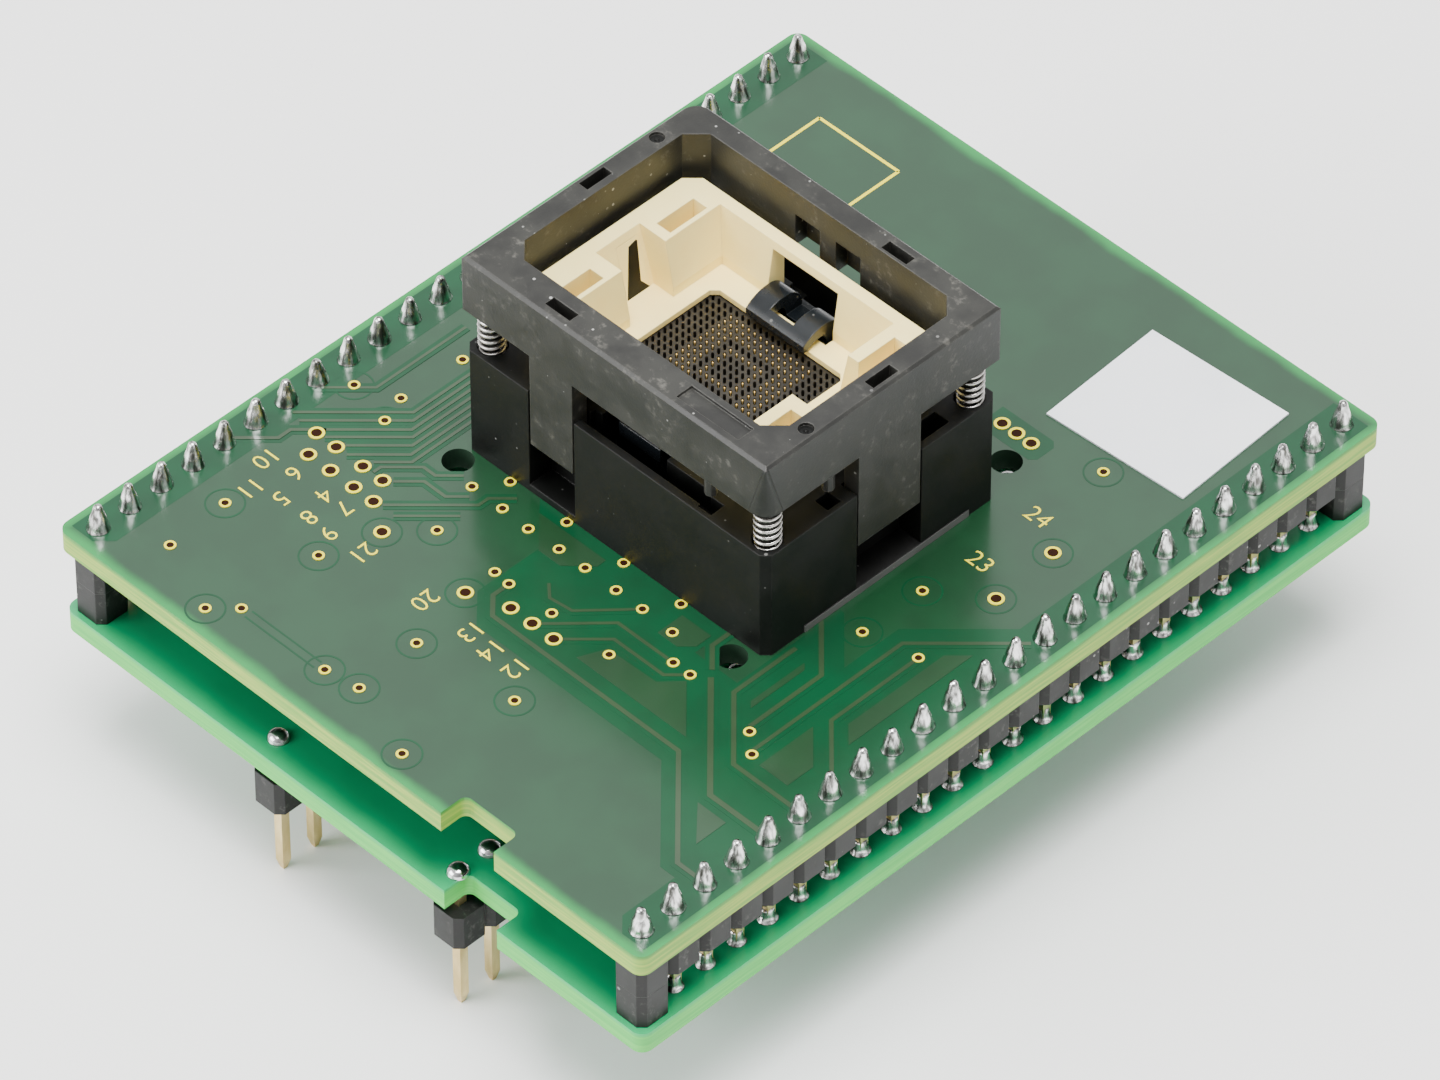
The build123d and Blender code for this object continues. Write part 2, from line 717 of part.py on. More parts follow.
with BuildPart() as socket_cover:
    with BuildSketch(socket_plane(cover_bottom)) as cover_outline:
        Rectangle(socket_width, socket_length)
        corners = cover_outline.vertices().sort_by(Axis.X)
        mark_corner = corners[:2].sort_by(Axis.Y)[-1:]
        other_corners = corners[:2].sort_by(Axis.Y)[:1] + corners[2:]
        fillet(mark_corner, cover_mark_corner)
        fillet(other_corners, cover_corner)
    extrude(amount=cover_depth)
    chamfer(socket_cover.faces().sort_by(Axis.Z)[-1].edges(), cover_edge_chamfer)
    facet_corner = Plane(
        origin=(half_width, socket_y - half_length, top_board_top + cover_bottom),
        x_dir=(-1, 1, 0),
        z_dir=(1, 1, 0),
    )
    with BuildSketch(facet_corner):
        with BuildLine():
            Polyline((0, 0), (cover_facet / sqrt(2), 0), (0, cover_depth), close=True)
        make_face()
    extrude(amount=cover_facet, both=True, mode=Mode.SUBTRACT)
    with BuildSketch(socket_plane(cover_bottom)) as opening:
        with Locations((0, opening_shift)):
            Rectangle(opening_width, opening_length)
        chamfer(opening.vertices(), opening_corner)
    extrude(amount=cover_depth, mode=Mode.SUBTRACT)
    with BuildSketch(socket_plane(leg_bottom)):
        add(leg_plan(leg_thickness, 0))
    extrude(amount=cover_bottom - leg_bottom)
    with BuildSketch(socket_plane(leg_bottom)):
        add(leg_plan(leg_hook_depth, 0, leg_thickness))
    extrude(amount=leg_hook_height)
    with BuildSketch(socket_plane(cover_bottom)):
        with Locations(*peg_places):
            RegularPolygon(peg_radius, peg_sides)
    extrude(amount=-peg_length)
    with BuildSketch(socket_plane(cover_top)):
        side_slot_y = half_length - rim_slot_inset_side - rim_slot_width / 2
        end_slot_x = half_width - rim_slot_inset_end - rim_slot_width / 2
        with Locations((-side_leg_centre, -side_slot_y), (side_leg_centre, side_slot_y)):
            Rectangle(rim_slot_length, rim_slot_width)
        with Locations((-end_slot_x, end_leg_centre), (end_slot_x, end_leg_centre)):
            Rectangle(rim_slot_width, rim_slot_length)
    extrude(amount=-rim_slot_depth, mode=Mode.SUBTRACT)
    with BuildSketch(socket_plane(cover_top)):
        recess_x = half_width - recess_inset_end - recess_length / 2
        recess_y = recess_inset_side + recess_width / 2 - half_length
        with Locations((recess_x, recess_y)):
            Rectangle(recess_length, recess_width)
    extrude(amount=-recess_depth, mode=Mode.SUBTRACT)
    with BuildSketch(socket_plane(cover_top)):
        dimple_x = half_width - dimple_inset
        with Locations((-dimple_x, dimple_y), (dimple_x, -dimple_y)):
            RegularPolygon(dimple_radius, dimple_sides)
    extrude(amount=-dimple_depth, mode=Mode.SUBTRACT)
    with BuildSketch(socket_plane(cover_bottom)):
        with Locations(*spring_places):
            RegularPolygon(spring_pocket_radius, spring_pocket_sides, major_radius=False)
    extrude(amount=spring_seat - cover_bottom, mode=Mode.SUBTRACT)
    with BuildSketch(socket_plane(spring_seat)):
        with Locations(*spring_places):
            RegularPolygon(spring_post_radius, spring_post_sides)
    extrude(amount=spring_post_bottom - spring_seat)
    finger_width = (latch_width - latch_finger_gap) / 2
    finger_x = (latch_width + latch_finger_gap) / 4
    pocket_outer = half_length - finger_pocket_skin
    with BuildSketch(socket_plane(cover_bottom)):
        for side in (-1, 1):
            with Locations((-finger_x, side * pocket_outer / 2), (finger_x, side * pocket_outer / 2)):
                Rectangle(finger_width + 2 * finger_pocket_clearance, pocket_outer)
    extrude(amount=finger_pocket_top - cover_bottom, mode=Mode.SUBTRACT)
socket_cover.part.label = "socket_cover"
export_step(socket_cover.part, "parts/socket_cover.step")

# Cover springs: plain sleeves on the true diameter, length and seats of the coils

with BuildPart() as cover_springs:
    with BuildSketch(socket_plane(spring_pocket_floor)):
        with Locations(*spring_places):
            RegularPolygon(spring_radius, spring_sides)
            RegularPolygon(spring_radius - spring_wire, spring_sides, mode=Mode.SUBTRACT)
    extrude(amount=spring_seat - spring_pocket_floor)
cover_springs.part.label = "cover_springs"
export_step(cover_springs.part, "parts/cover_springs.step")
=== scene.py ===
# %% [markdown]
# # Dressing a socket adapter
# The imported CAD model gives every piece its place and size. This lesson gives the same pieces
# the look of the real adapter: glossy solder mask over copper, bright solder, black moulded
# plastic with dust in its corners, a warm beige nest and small steel springs.
# Everything is in metres in the CAD frame, and nothing from the CAD is moved.

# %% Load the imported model
import math
import bmesh
import bpy
import numpy as np
from mathutils import Matrix, Vector


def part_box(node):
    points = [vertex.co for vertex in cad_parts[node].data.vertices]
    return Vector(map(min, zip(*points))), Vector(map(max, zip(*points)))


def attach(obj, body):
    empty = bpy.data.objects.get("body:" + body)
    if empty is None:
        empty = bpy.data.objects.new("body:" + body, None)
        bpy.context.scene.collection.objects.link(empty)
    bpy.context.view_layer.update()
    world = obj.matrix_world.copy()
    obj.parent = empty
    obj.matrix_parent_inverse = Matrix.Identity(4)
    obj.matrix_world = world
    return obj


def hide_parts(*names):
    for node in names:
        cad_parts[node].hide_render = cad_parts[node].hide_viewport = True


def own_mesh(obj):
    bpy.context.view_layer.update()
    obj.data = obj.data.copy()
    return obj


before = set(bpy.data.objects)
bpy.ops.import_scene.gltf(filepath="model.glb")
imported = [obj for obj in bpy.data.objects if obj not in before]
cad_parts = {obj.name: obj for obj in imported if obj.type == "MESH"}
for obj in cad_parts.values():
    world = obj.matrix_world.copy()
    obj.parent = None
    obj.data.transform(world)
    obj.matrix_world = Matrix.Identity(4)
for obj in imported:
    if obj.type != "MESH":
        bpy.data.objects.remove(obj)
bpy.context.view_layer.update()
MM = 0.001

# %% [markdown]
# ## Measures read from the model
# A piece made here sits on a CAD piece, so its height is read from that piece's box. If the
# CAD changes, the looks follow. Working in millimetres keeps the numbers easy to read.

# %% Heights and centres in millimetres
def in_mm(corners):
    """The low and high corner of a box in millimetres."""
    return [np.array(corner) / MM for corner in corners]


board_low, board_high = in_mm(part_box("top_board"))
base_low, base_high = in_mm(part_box("socket_base"))
deck, lower_deck = board_high[2], in_mm(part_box("lower_board"))[1][2]
socket_y = (base_low[1] + base_high[1]) / 2
PITCH, PINS = 2.54, 24
row_y = (np.arange(PINS) - (PINS - 1) / 2) * PITCH
LINK_X, DIL_X = 9 * PITCH, 3 * PITCH
print("deck", round(deck, 2), "lower deck", round(lower_deck, 2), "socket y", round(socket_y, 2))

# %% [markdown]
# ## Camera
# The photograph was taken with a long lens from the notch corner, 45 degrees round and 45
# degrees up. A camera's matrix has its right, up and backward directions as columns, so the
# angles give those three directions and a tiny roll turns the first two.

# %% Camera at the photograph's viewing angle
azimuth, elevation, roll = math.radians(45.292), math.radians(44.9), math.radians(-0.091)
backward = Vector((math.sin(azimuth) * math.cos(elevation),
                   -math.cos(azimuth) * math.cos(elevation), math.sin(elevation)))
level = Vector((math.cos(azimuth), math.sin(azimuth), 0))
upward = backward.cross(level)
right = level * math.cos(roll) + upward * math.sin(roll)
upward = backward.cross(right)
target, distance = Vector((3.71, -3.92, 17.62)) * MM, 0.6516
camera_data = bpy.data.cameras.new("photo_camera")
camera_data.sensor_width = 36
camera_data.lens = 276.5
camera_data.clip_start = 0.05
camera = bpy.data.objects.new("photo_camera", camera_data)
bpy.context.scene.collection.objects.link(camera)
camera.matrix_world = Matrix.Translation(target + backward * distance) @ Matrix(
    (right, upward, backward)).transposed().to_4x4()
bpy.context.scene.camera = camera
print("camera at", [round(v, 4) for v in camera.matrix_world.translation])

# %% [markdown]
# ## Arrays that become meshes
# Every new shape is an array of points and a list of arrays of face corners. Numpy works out
# all the points of a shape at once, and the same few helpers serve springs, solder and copper.


# %% Helpers for shapes made of arrays
def grid_faces(rows, columns, around=False, closed=False):
    """Quads between neighbours in a grid of points. around joins the last column to the
    first, and closed joins the last row to the first."""
    row = np.arange(rows if closed else rows - 1)[:, None]
    column = np.arange(columns if around else columns - 1)[None]
    next_row, next_column = (row + 1) % rows, (column + 1) % columns
    corners = [row * columns + column, row * columns + next_column,
               next_row * columns + next_column, next_row * columns + column]
    return np.stack(np.broadcast_arrays(*corners), axis=-1).reshape(-1, 4)


def revolve(profile, segments, closed=False):
    """Turns a profile of (radius, height) rows about the Z axis: x is the radius times the
    cosine of the turn and y the radius times its sine."""
    radius, height = np.array(profile, float).T
    turn = np.arange(segments) * 2 * math.pi / segments
    x = radius[:, None] * np.cos(turn)
    y = radius[:, None] * np.sin(turn)
    z = np.repeat(height[:, None], segments, axis=1)
    return np.stack([x, y, z], axis=-1).reshape(-1, 3), [grid_faces(len(radius), segments, True, closed)]


def repeat(shape, places, stretch=None, lean=None):
    """Copies a shape to every place: each copy is its points times its stretch, moved sideways
    by its lean times the height, plus its place."""
    points, blocks = shape
    places = np.array(places, float)
    copies = len(places)
    moved = np.repeat(points[None], copies, axis=0)
    if stretch is not None:
        moved = moved * np.array(stretch)[:, None]
    if lean is not None:
        moved[..., :2] += np.array(lean)[:, None] * moved[..., 2:]
    moved = (moved + places[:, None]).reshape(-1, 3)
    first = (np.arange(copies) * len(points))[:, None, None]
    return moved, [(block[None] + first).reshape(-1, block.shape[-1]) for block in blocks]


def prism(outline, push):
    """A closed block: the outline, and the outline moved by push, joined by quads."""
    first = np.array(outline, float)
    count = len(first)
    ring = np.arange(count)
    points = np.concatenate([first, first + np.array(push, float)])
    return points, [grid_faces(2, count, True), ring[None, ::-1], ring[None] + count]


def plate(outline, low, high):
    """A flat plate: a plan outline lifted to its low level and pushed up to its high one."""
    return prism([(x, y, low) for x, y in outline], (0, 0, high - low))


def ribbon(route, width, low, high):
    """A strip of constant width along a route. At a bend both edge points lie on the line that
    halves the turn, half the width away from each run."""
    way = np.array(route, float)
    run = np.diff(way, axis=0)
    run /= np.linalg.norm(run, axis=1)[:, None]
    before, after = np.vstack([run[:1], run]), np.vstack([run, run[-1:]])
    side = np.stack([-(before + after)[:, 1], (before + after)[:, 0]], axis=1)
    side *= width / np.sum(side * np.stack([-after[:, 1], after[:, 0]], axis=1), axis=1)[:, None] / 2
    edges = [(way - side, high), (way + side, high), (way + side, low), (way - side, low)]
    points = np.stack([np.column_stack([p, np.full(len(p), z)]) for p, z in edges], axis=1)
    ends = np.array([[3, 2, 1, 0], np.arange(4) + 4 * (len(way) - 1)])
    return points.reshape(-1, 3), [grid_faces(len(way), 4, True), ends]


print("quads in a band of three rings of four:", len(grid_faces(3, 4, True)))

# %% [markdown]
# ## From arrays to a piece
# A piece is one mesh with one finish. Poles and seams are welded so that the surface is
# closed, then it is told which body carries it and which finish of the record it takes.


# %% Make a piece from shapes
def add_object(name, data):
    """An object at the origin that holds a mesh or a light."""
    made = bpy.data.objects.new(name, data)
    bpy.context.scene.collection.objects.link(made)
    return made


def make_piece(name, shapes, finish, body, smooth=True):
    """Joins shapes into one mesh: the face corners of each shape grow by the number of points
    that come before it. Points on one spot become one."""
    points = np.concatenate([shape[0] for shape in shapes]) * MM
    starts = np.cumsum([0] + [len(shape[0]) for shape in shapes[:-1]])
    faces = [face for shape, start in zip(shapes, starts)
             for block in shape[1] for face in (block + start).tolist()]
    mesh = bpy.data.meshes.new(name)
    mesh.from_pydata(points.tolist(), [], faces)
    welded = bmesh.new()
    welded.from_mesh(mesh)
    bmesh.ops.remove_doubles(welded, verts=welded.verts, dist=1e-7)
    bmesh.ops.recalc_face_normals(welded, faces=welded.faces)
    welded.to_mesh(mesh)
    welded.free()
    mesh.polygons.foreach_set("use_smooth", np.full(len(mesh.polygons), smooth))
    mesh.materials.append(finish)
    made = add_object(name, mesh)
    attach(made, body)
    print(name, len(mesh.polygons), "faces on", body)
    return made


# %% [markdown]
# ## Writing node trees in few words
# A material is a graph. One small function adds a node and links whatever socket it is handed,
# so a material below reads from its coordinates down to its shader.


# %% Helpers for node trees
def linear(red, green, blue):
    """A colour as a screen shows it, 0 to 255, turned into the light it stands for."""
    part = np.array([red, green, blue]) / 255
    light = np.where(part > 0.04045, ((part + 0.055) / 1.055) ** 2.4, part / 12.92)
    return (*light.tolist(), 1.0)


def supply(tree, sockets, values):
    """Links a value to the socket of that name if it is a socket itself, or sets it there."""
    for key, value in values.items():
        if isinstance(value, bpy.types.NodeSocket):
            tree.links.new(value, sockets[key])
        else:
            sockets[key].default_value = value


def add_node(tree, kind, values=None, **settings):
    """Adds a node, sets its settings, and links or sets each of its inputs."""
    made = tree.nodes.new("ShaderNode" + kind)
    for key, value in settings.items():
        setattr(made, key, value)
    supply(tree, made.inputs, values or {})
    return made


def calculate(tree, operation, first, second=0.0, third=0.0):
    """One Math node."""
    return add_node(tree, "Math", {0: first, 1: second, 2: third}, operation=operation).outputs[0]


def fade(tree, value, start, end, low=0.0, high=1.0):
    """A soft step: low up to start, high from end on."""
    return add_node(tree, "MapRange", {"Value": value, "From Min": start, "From Max": end, "To Min": low,
                                       "To Max": high}, interpolation_type="SMOOTHSTEP").outputs["Result"]


def blend_colours(tree, share, first, second):
    """One Mix node on colours."""
    return add_node(tree, "Mix", {"Factor": share, 6: first, 7: second}, data_type="RGBA").outputs[2]


def object_place(tree):
    """Where a point is on its object, which every pattern here is laid on."""
    return add_node(tree, "TexCoord").outputs["Object"]


def noise(tree, place, scale, detail=2.0, roughness=0.5):
    """A soft random value between 0 and 1; scale is how many blots fit in a metre."""
    return add_node(tree, "TexNoise", {"Vector": place, "Scale": scale, "Detail": detail,
                                       "Roughness": roughness}).outputs[0]


def looks_up(tree):
    """How far a face looks up: 1 for a top, 0 for a side."""
    normal = add_node(tree, "NewGeometry").outputs["Normal"]
    return add_node(tree, "SeparateXYZ", {"Vector": normal}).outputs["Z"]


def raised(tree, height, strength, distance=0.00002, **normal):
    """The normal of a surface that a value raises by up to that distance."""
    return add_node(tree, "Bump", {"Strength": strength, "Distance": distance, "Height": height,
                                   **normal}).outputs[0]


def new_group(name, inputs, outputs):
    """A node group with named sockets; inputs gives each one's kind and first value."""
    tree = bpy.data.node_groups.new(name, "ShaderNodeTree")
    for key, (kind, value) in inputs.items():
        made = tree.interface.new_socket(key, in_out="INPUT", socket_type="NodeSocket" + kind)
        made.default_value = value
    for key, kind in outputs.items():
        tree.interface.new_socket(key, in_out="OUTPUT", socket_type="NodeSocket" + kind)
    return tree, tree.nodes.new("NodeGroupInput").outputs, tree.nodes.new("NodeGroupOutput").inputs


def new_material(name):
    """An empty material with its shader, ready to be fed."""
    material = bpy.data.materials.new(name)
    material.use_nodes = True
    return material, material.node_tree, material.node_tree.nodes["Principled BSDF"]


def feed(tree, shader, **values):
    """Links or sets the shader's sockets; an underscore in a name stands for a space."""
    supply(tree, shader.inputs, {key.replace("_", " "): value for key, value in values.items()})


print("a mid green in light:", [round(v, 3) for v in linear(30, 100, 60)[:3]])

# %% [markdown]
# ## Shared effect: worn and highlighted edges
# CAD edges are razor sharp, and real mouldings have a small round that catches the light and
# rubs pale first. The Bevel node looks round the corner and gives a softened normal. Where
# that differs from the plain normal there is an edge, so their difference is the mask of paler
# edges: partly wear, partly a painted highlight along the round.

# %% Group of worn edges with a painted highlight
edges, inside, outside = new_group("edges_worn_and_lit", {"Radius": ("Float", 0.0001)},
                                   {"Wear And Highlight": "Float", "Normal": "Vector"})
softened = add_node(edges, "Bevel", {"Radius": inside["Radius"]}, samples=4).outputs[0]
plain = add_node(edges, "NewGeometry").outputs["Normal"]
agreement = add_node(edges, "VectorMath", {0: softened, 1: plain}, operation="DOT_PRODUCT")
turned = fade(edges, calculate(edges, "SUBTRACT", 1.0, agreement.outputs["Value"]), 0.02, 0.22)
patches = fade(edges, noise(edges, object_place(edges), 900.0, 3.0), 0.3, 0.7)
kept = calculate(edges, "MULTIPLY_ADD", patches, 0.5, 0.5)
supply(edges, outside, {"Wear And Highlight": calculate(edges, "MULTIPLY", turned, kept), "Normal": softened})
print("edges_worn_and_lit has", len(edges.nodes), "nodes")

# %% [markdown]
# ## Shared effect: moulded skin
# Glass-filled plastic has a fine pebbled skin, cloudy patches of gloss and a few pale dust
# specks. Noises of very different scales do that: grain for the bump, clouds for the
# roughness, and a cell pattern whose chosen cells are the specks. Where cloud and a finer
# noise meet, the skin is scuffed pale.

# %% Group of moulded skin
skin, inside, outside = new_group("moulded_skin", {"Grain": ("Float", 9000.0)},
                                  dict.fromkeys(("Height", "Cloud", "Scuff", "Speck"), "Float"))
place = object_place(skin)
cloud = noise(skin, place, 350.0, 5.0, 0.6)
cells = add_node(skin, "TexVoronoi", {"Vector": place, "Scale": 2200.0})
chosen = add_node(skin, "SeparateColor", {"Color": cells.outputs["Color"]})
few = fade(skin, chosen.outputs[0], 0.9, 1.0)
spread = calculate(skin, "MULTIPLY_ADD", chosen.outputs[1], 0.22, 0.06)
dot = fade(skin, calculate(skin, "SUBTRACT", spread, cells.outputs["Distance"]), 0.0, 0.06)
scuff = calculate(skin, "MULTIPLY", fade(skin, noise(skin, place, 1500.0, 7.0, 0.7), 0.52, 0.72),
                  fade(skin, cloud, 0.42, 0.62))
supply(skin, outside, {"Height": noise(skin, place, inside["Grain"], 4.0),
                       "Cloud": fade(skin, cloud, 0.3, 0.72), "Scuff": scuff,
                       "Speck": calculate(skin, "MULTIPLY", few, dot)})
print("moulded_skin has", len(skin.nodes), "nodes")

# %% [markdown]
# ## Moulded plastic
# All the plastic pieces are one recipe with different numbers: colour, how pale the edges get
# by wear and painted highlight, how rough the skin is and how much dust lies on it.


# %% Recipe for moulded plastic
def moulded_plastic(name, colour, cloudy, rubbed_and_lit, roughness, radius=0.00012, wear_and_highlight=0.8, dust=0.5,
                    bump=0.25, grain=9000.0, specular=0.5, top=None, scuff=0.15):
    """Colour between two tones by cloud, paler on edges by wear and a painted highlight, and on
    specks of dust. If a top colour is given, the faces that look up take it as a painted shade."""
    material, tree, shader = new_material(name)
    edge = add_node(tree, "Group", {"Radius": radius}, node_tree=edges).outputs
    surface = add_node(tree, "Group", {"Grain": grain}, node_tree=skin).outputs
    tone = blend_colours(tree, surface["Cloud"], linear(*colour), linear(*cloudy))
    # Paler edges: partly wear, partly a painted highlight along the rounds.
    edge_wear_and_highlight = calculate(tree, "MULTIPLY", edge["Wear And Highlight"], wear_and_highlight)
    wear_highlight_and_scuff = calculate(tree, "MAXIMUM", edge_wear_and_highlight, calculate(tree, "MULTIPLY", surface["Scuff"], scuff))
    tone = blend_colours(tree, wear_highlight_and_scuff, tone, linear(*rubbed_and_lit))
    # A given top colour is a painted shade on the faces that look up.
    if top:
        tone = blend_colours(tree, fade(tree, looks_up(tree), 0.4, 0.6), tone, linear(*top))
    speck = calculate(tree, "MULTIPLY", surface["Speck"], dust)
    tone = blend_colours(tree, speck, tone, linear(190, 190, 186))
    gloss = calculate(tree, "MULTIPLY_ADD", surface["Cloud"], 0.14, roughness - 0.07)
    feed(tree, shader, Base_Color=tone, Roughness=gloss, Specular_IOR_Level=specular,
         Normal=raised(tree, surface["Height"], bump, Normal=edge["Normal"]))
    return material


cover_grey = moulded_plastic("cover_plastic", (24, 24, 22), (40, 40, 36), (90, 88, 82), 0.5,
                             dust=0.6, bump=0.6, grain=6000.0, scuff=0.8)
# A copy of the cover plastic a little darker, as painted shade on the rounded corner, and without the paler
# edges.
corner_grey_shaded = moulded_plastic("corner_plastic_shaded", (22, 22, 20), (36, 36, 33), (90, 88, 82), 0.5,
                              wear_and_highlight=0.0, dust=0.6, bump=0.6, grain=6000.0, scuff=0.8)
base_black = moulded_plastic("base_plastic", (8, 9, 8), (14, 15, 13), (48, 47, 44), 0.48, wear_and_highlight=0.55,
                             dust=0.3, specular=0.25)
block_dark = moulded_plastic("block_plastic", (20, 18, 17), (27, 24, 22), (46, 42, 38), 0.55, wear_and_highlight=0.3,
                             specular=0.25)
# The base plate's upper face is painted near black: painted shade in the channel where it lies; its sides
# keep the grey.
plate_grey = moulded_plastic("plate_plastic", (84, 84, 82), (98, 98, 96), (130, 130, 128), 0.45, wear_and_highlight=0.5,
                             top=(14, 14, 13))
header_black = moulded_plastic("header_plastic", (12, 12, 12), (26, 26, 25), (80, 79, 76), 0.5,
                               radius=0.00008, wear_and_highlight=0.6, specular=0.3, scuff=0.8)
latch_dark = moulded_plastic("latch_plastic", (15, 19, 22), (22, 26, 29), (62, 66, 69), 0.26,
                             radius=0.0001, wear_and_highlight=0.6, dust=0.2, bump=0.1, scuff=0.1)
nest_beige = moulded_plastic("nest_plastic", (255, 236, 160), (252, 229, 150), (255, 243, 196), 0.5,
                             radius=0.0001, wear_and_highlight=0.5, dust=0.1, bump=0.12, scuff=0.0)
slider_grey = moulded_plastic("slider_plastic", (30, 27, 22), (38, 34, 27), (74, 70, 60), 0.42,
                              radius=0.00003, wear_and_highlight=0.35, dust=0.1, bump=0.1)
print("finishes so far:", len(bpy.data.materials))

# %% [markdown]
# ## Metals
# Solder, gold plating and spring steel differ in colour and in how sharp their reflections
# are. A noise, stretched to streaks on pins and solder, breaks the mirror up as handling and
# flux do; on solder its dark streaks are a painted reflection of dark surroundings. Thin gold
# on the board and the contacts is duller and has no streaks.


# %% Recipes for metals
def bright_metal(name, colour, shade, roughness, streak=(700.0, 700.0, 250.0), bump=0.15):
    """Metal whose colour and roughness drift with a noise; streak is its scale on each axis."""
    material, tree, shader = new_material(name)
    along = add_node(tree, "Mapping", {"Vector": object_place(tree), "Scale": streak}).outputs[0]
    drift = noise(tree, along, 1.0, 4.0)
    share = fade(tree, drift, 0.35, 0.68)
    feed(tree, shader, Base_Color=blend_colours(tree, share, linear(*colour), linear(*shade)),
         Roughness=calculate(tree, "MULTIPLY_ADD", share, 0.16, roughness), Metallic=1.0,
         Normal=raised(tree, drift, bump, 0.00004))
    return material


def thin_gold(name, colour, shade, roughness, metallic):
    """Plating whose colour and roughness drift with one fine noise."""
    material, tree, shader = new_material(name)
    drift = noise(tree, object_place(tree), 2500.0, 3.0)
    feed(tree, shader, Base_Color=blend_colours(tree, drift, linear(*colour), linear(*shade)),
         Roughness=calculate(tree, "MULTIPLY_ADD", drift, 0.2, roughness), Metallic=metallic)
    return material


# The solder's dark streaks of base colour are a painted reflection of dark surroundings.
solder_painted_reflections = bright_metal("solder_metal_painted_reflections", (244, 244, 242), (92, 92, 88), 0.14, (3400, 3400, 620), 1.0)
dome_bright = bright_metal("dome_metal", (222, 223, 224), (190, 190, 190), 0.07, bump=0.12)
pin_gold = bright_metal("pin_metal", (244, 220, 164), (214, 188, 130), 0.28)
spring_steel = bright_metal("spring_metal", (205, 202, 198), (168, 164, 160), 0.2, (300, 300, 300))
trace_gold = thin_gold("trace_gold", (250, 238, 50), (240, 218, 32), 0.3, 0.3)
contact_gold = thin_gold("contact_gold", (255, 226, 150), (240, 196, 110), 0.2, 0.45)
print("finishes so far:", len(bpy.data.materials))

# %% [markdown]
# ## Circuit board
# A board's flat faces are glossy green mask over copper, its sawn sides are bare laminate, and
# near the rim the laminate glows through. Side faces far from the rim, the walls of holes, are
# painted dark green as the shade inside the holes. All of these come from how far a point is
# from the rim and whether the face looks up or sideways. Both boards use it, so it is a group.

# %% Group for both boards
board, inside, outside = new_group(
    "board_faces",
    {**dict.fromkeys(("Mask", "Tint", "Rim", "Side", "Side Tint"), ("Color", (0, 0, 0, 1))),
     **dict.fromkeys(("Top", "Half Width", "Half Length", "Rim Width"), ("Float", 0.0))},
    {"Color": "Color", "Flat": "Float", "Height": "Float"})
place = object_place(board)
axes = add_node(board, "SeparateXYZ", {"Vector": place}).outputs
from_side, from_end = (calculate(board, "SUBTRACT", inside[half], calculate(board, "ABSOLUTE", axes[axis]))
                       for half, axis in (("Half Width", "X"), ("Half Length", "Y")))
from_rim = calculate(board, "MINIMUM", from_side, from_end)
mottle = noise(board, place, 260.0, 5.0)
wander = calculate(board, "MULTIPLY_ADD", mottle, 0.0008, -0.0004)
rim_share = fade(board, calculate(board, "ADD", from_rim, wander), 0.0, inside["Rim Width"], 1.0, 0.0)
flat_tone = blend_colours(board, fade(board, mottle, 0.35, 0.65), inside["Mask"], inside["Tint"])
flat_tone = blend_colours(board, rim_share, flat_tone, inside["Rim"])
layers = add_node(board, "Mapping", {"Vector": place, "Scale": (160.0, 160.0, 5200.0)}).outputs[0]
plies = fade(board, noise(board, layers, 1.0, 3.0), 0.35, 0.65)
side_tone = blend_colours(board, plies, inside["Side"], inside["Side Tint"])
below_top = calculate(board, "SUBTRACT", inside["Top"], axes["Z"])
near_top = fade(board, below_top, 0.00005, 0.0004, 0.8, 0.0)
side_tone = blend_colours(board, near_top, side_tone, inside["Rim"])
# Side faces far from the rim are the walls of holes; their dark green is painted shade.
hole_wall_shade = fade(board, from_rim, 0.003, 0.0032)
side_tone = blend_colours(board, hole_wall_shade, side_tone, linear(16, 44, 26))
flat = calculate(board, "GREATER_THAN", calculate(board, "ABSOLUTE", looks_up(board)), 0.5)
supply(board, outside, {"Color": blend_colours(board, flat, side_tone, flat_tone), "Flat": flat,
                        "Height": noise(board, place, 1500.0)})
print("board_faces has", len(board.nodes), "nodes")

# %% [markdown]
# ## Mask on laminate and mask on copper
# The mask is a clear green gloss, so it is a base colour under a glossy coat. Over bare
# laminate it is deep and bluish, over copper paler and warmer, and on a track a little browner.


# %% Finishes of mask, bare gap and copper under mask
COAT_ROUGHNESS = 0.17


def green_board(name, mask, tint, rim, side, side_tint, top, half_size, rim_width):
    """Glossy mask on the flat faces and dull laminate on the sides."""
    material, tree, shader = new_material(name)
    faces = add_node(tree, "Group", {
        "Mask": linear(*mask), "Tint": linear(*tint), "Rim": linear(*rim), "Side": linear(*side),
        "Side Tint": linear(*side_tint), "Top": top, "Half Width": half_size[0],
        "Half Length": half_size[1], "Rim Width": rim_width}, node_tree=board).outputs
    gloss = calculate(tree, "MULTIPLY_ADD", faces["Flat"], -0.3, 0.62)
    feed(tree, shader, Base_Color=faces["Color"], Roughness=gloss, Coat_Weight=faces["Flat"],
         Coat_Roughness=COAT_ROUGHNESS, Normal=raised(tree, faces["Height"], 0.06))
    return material


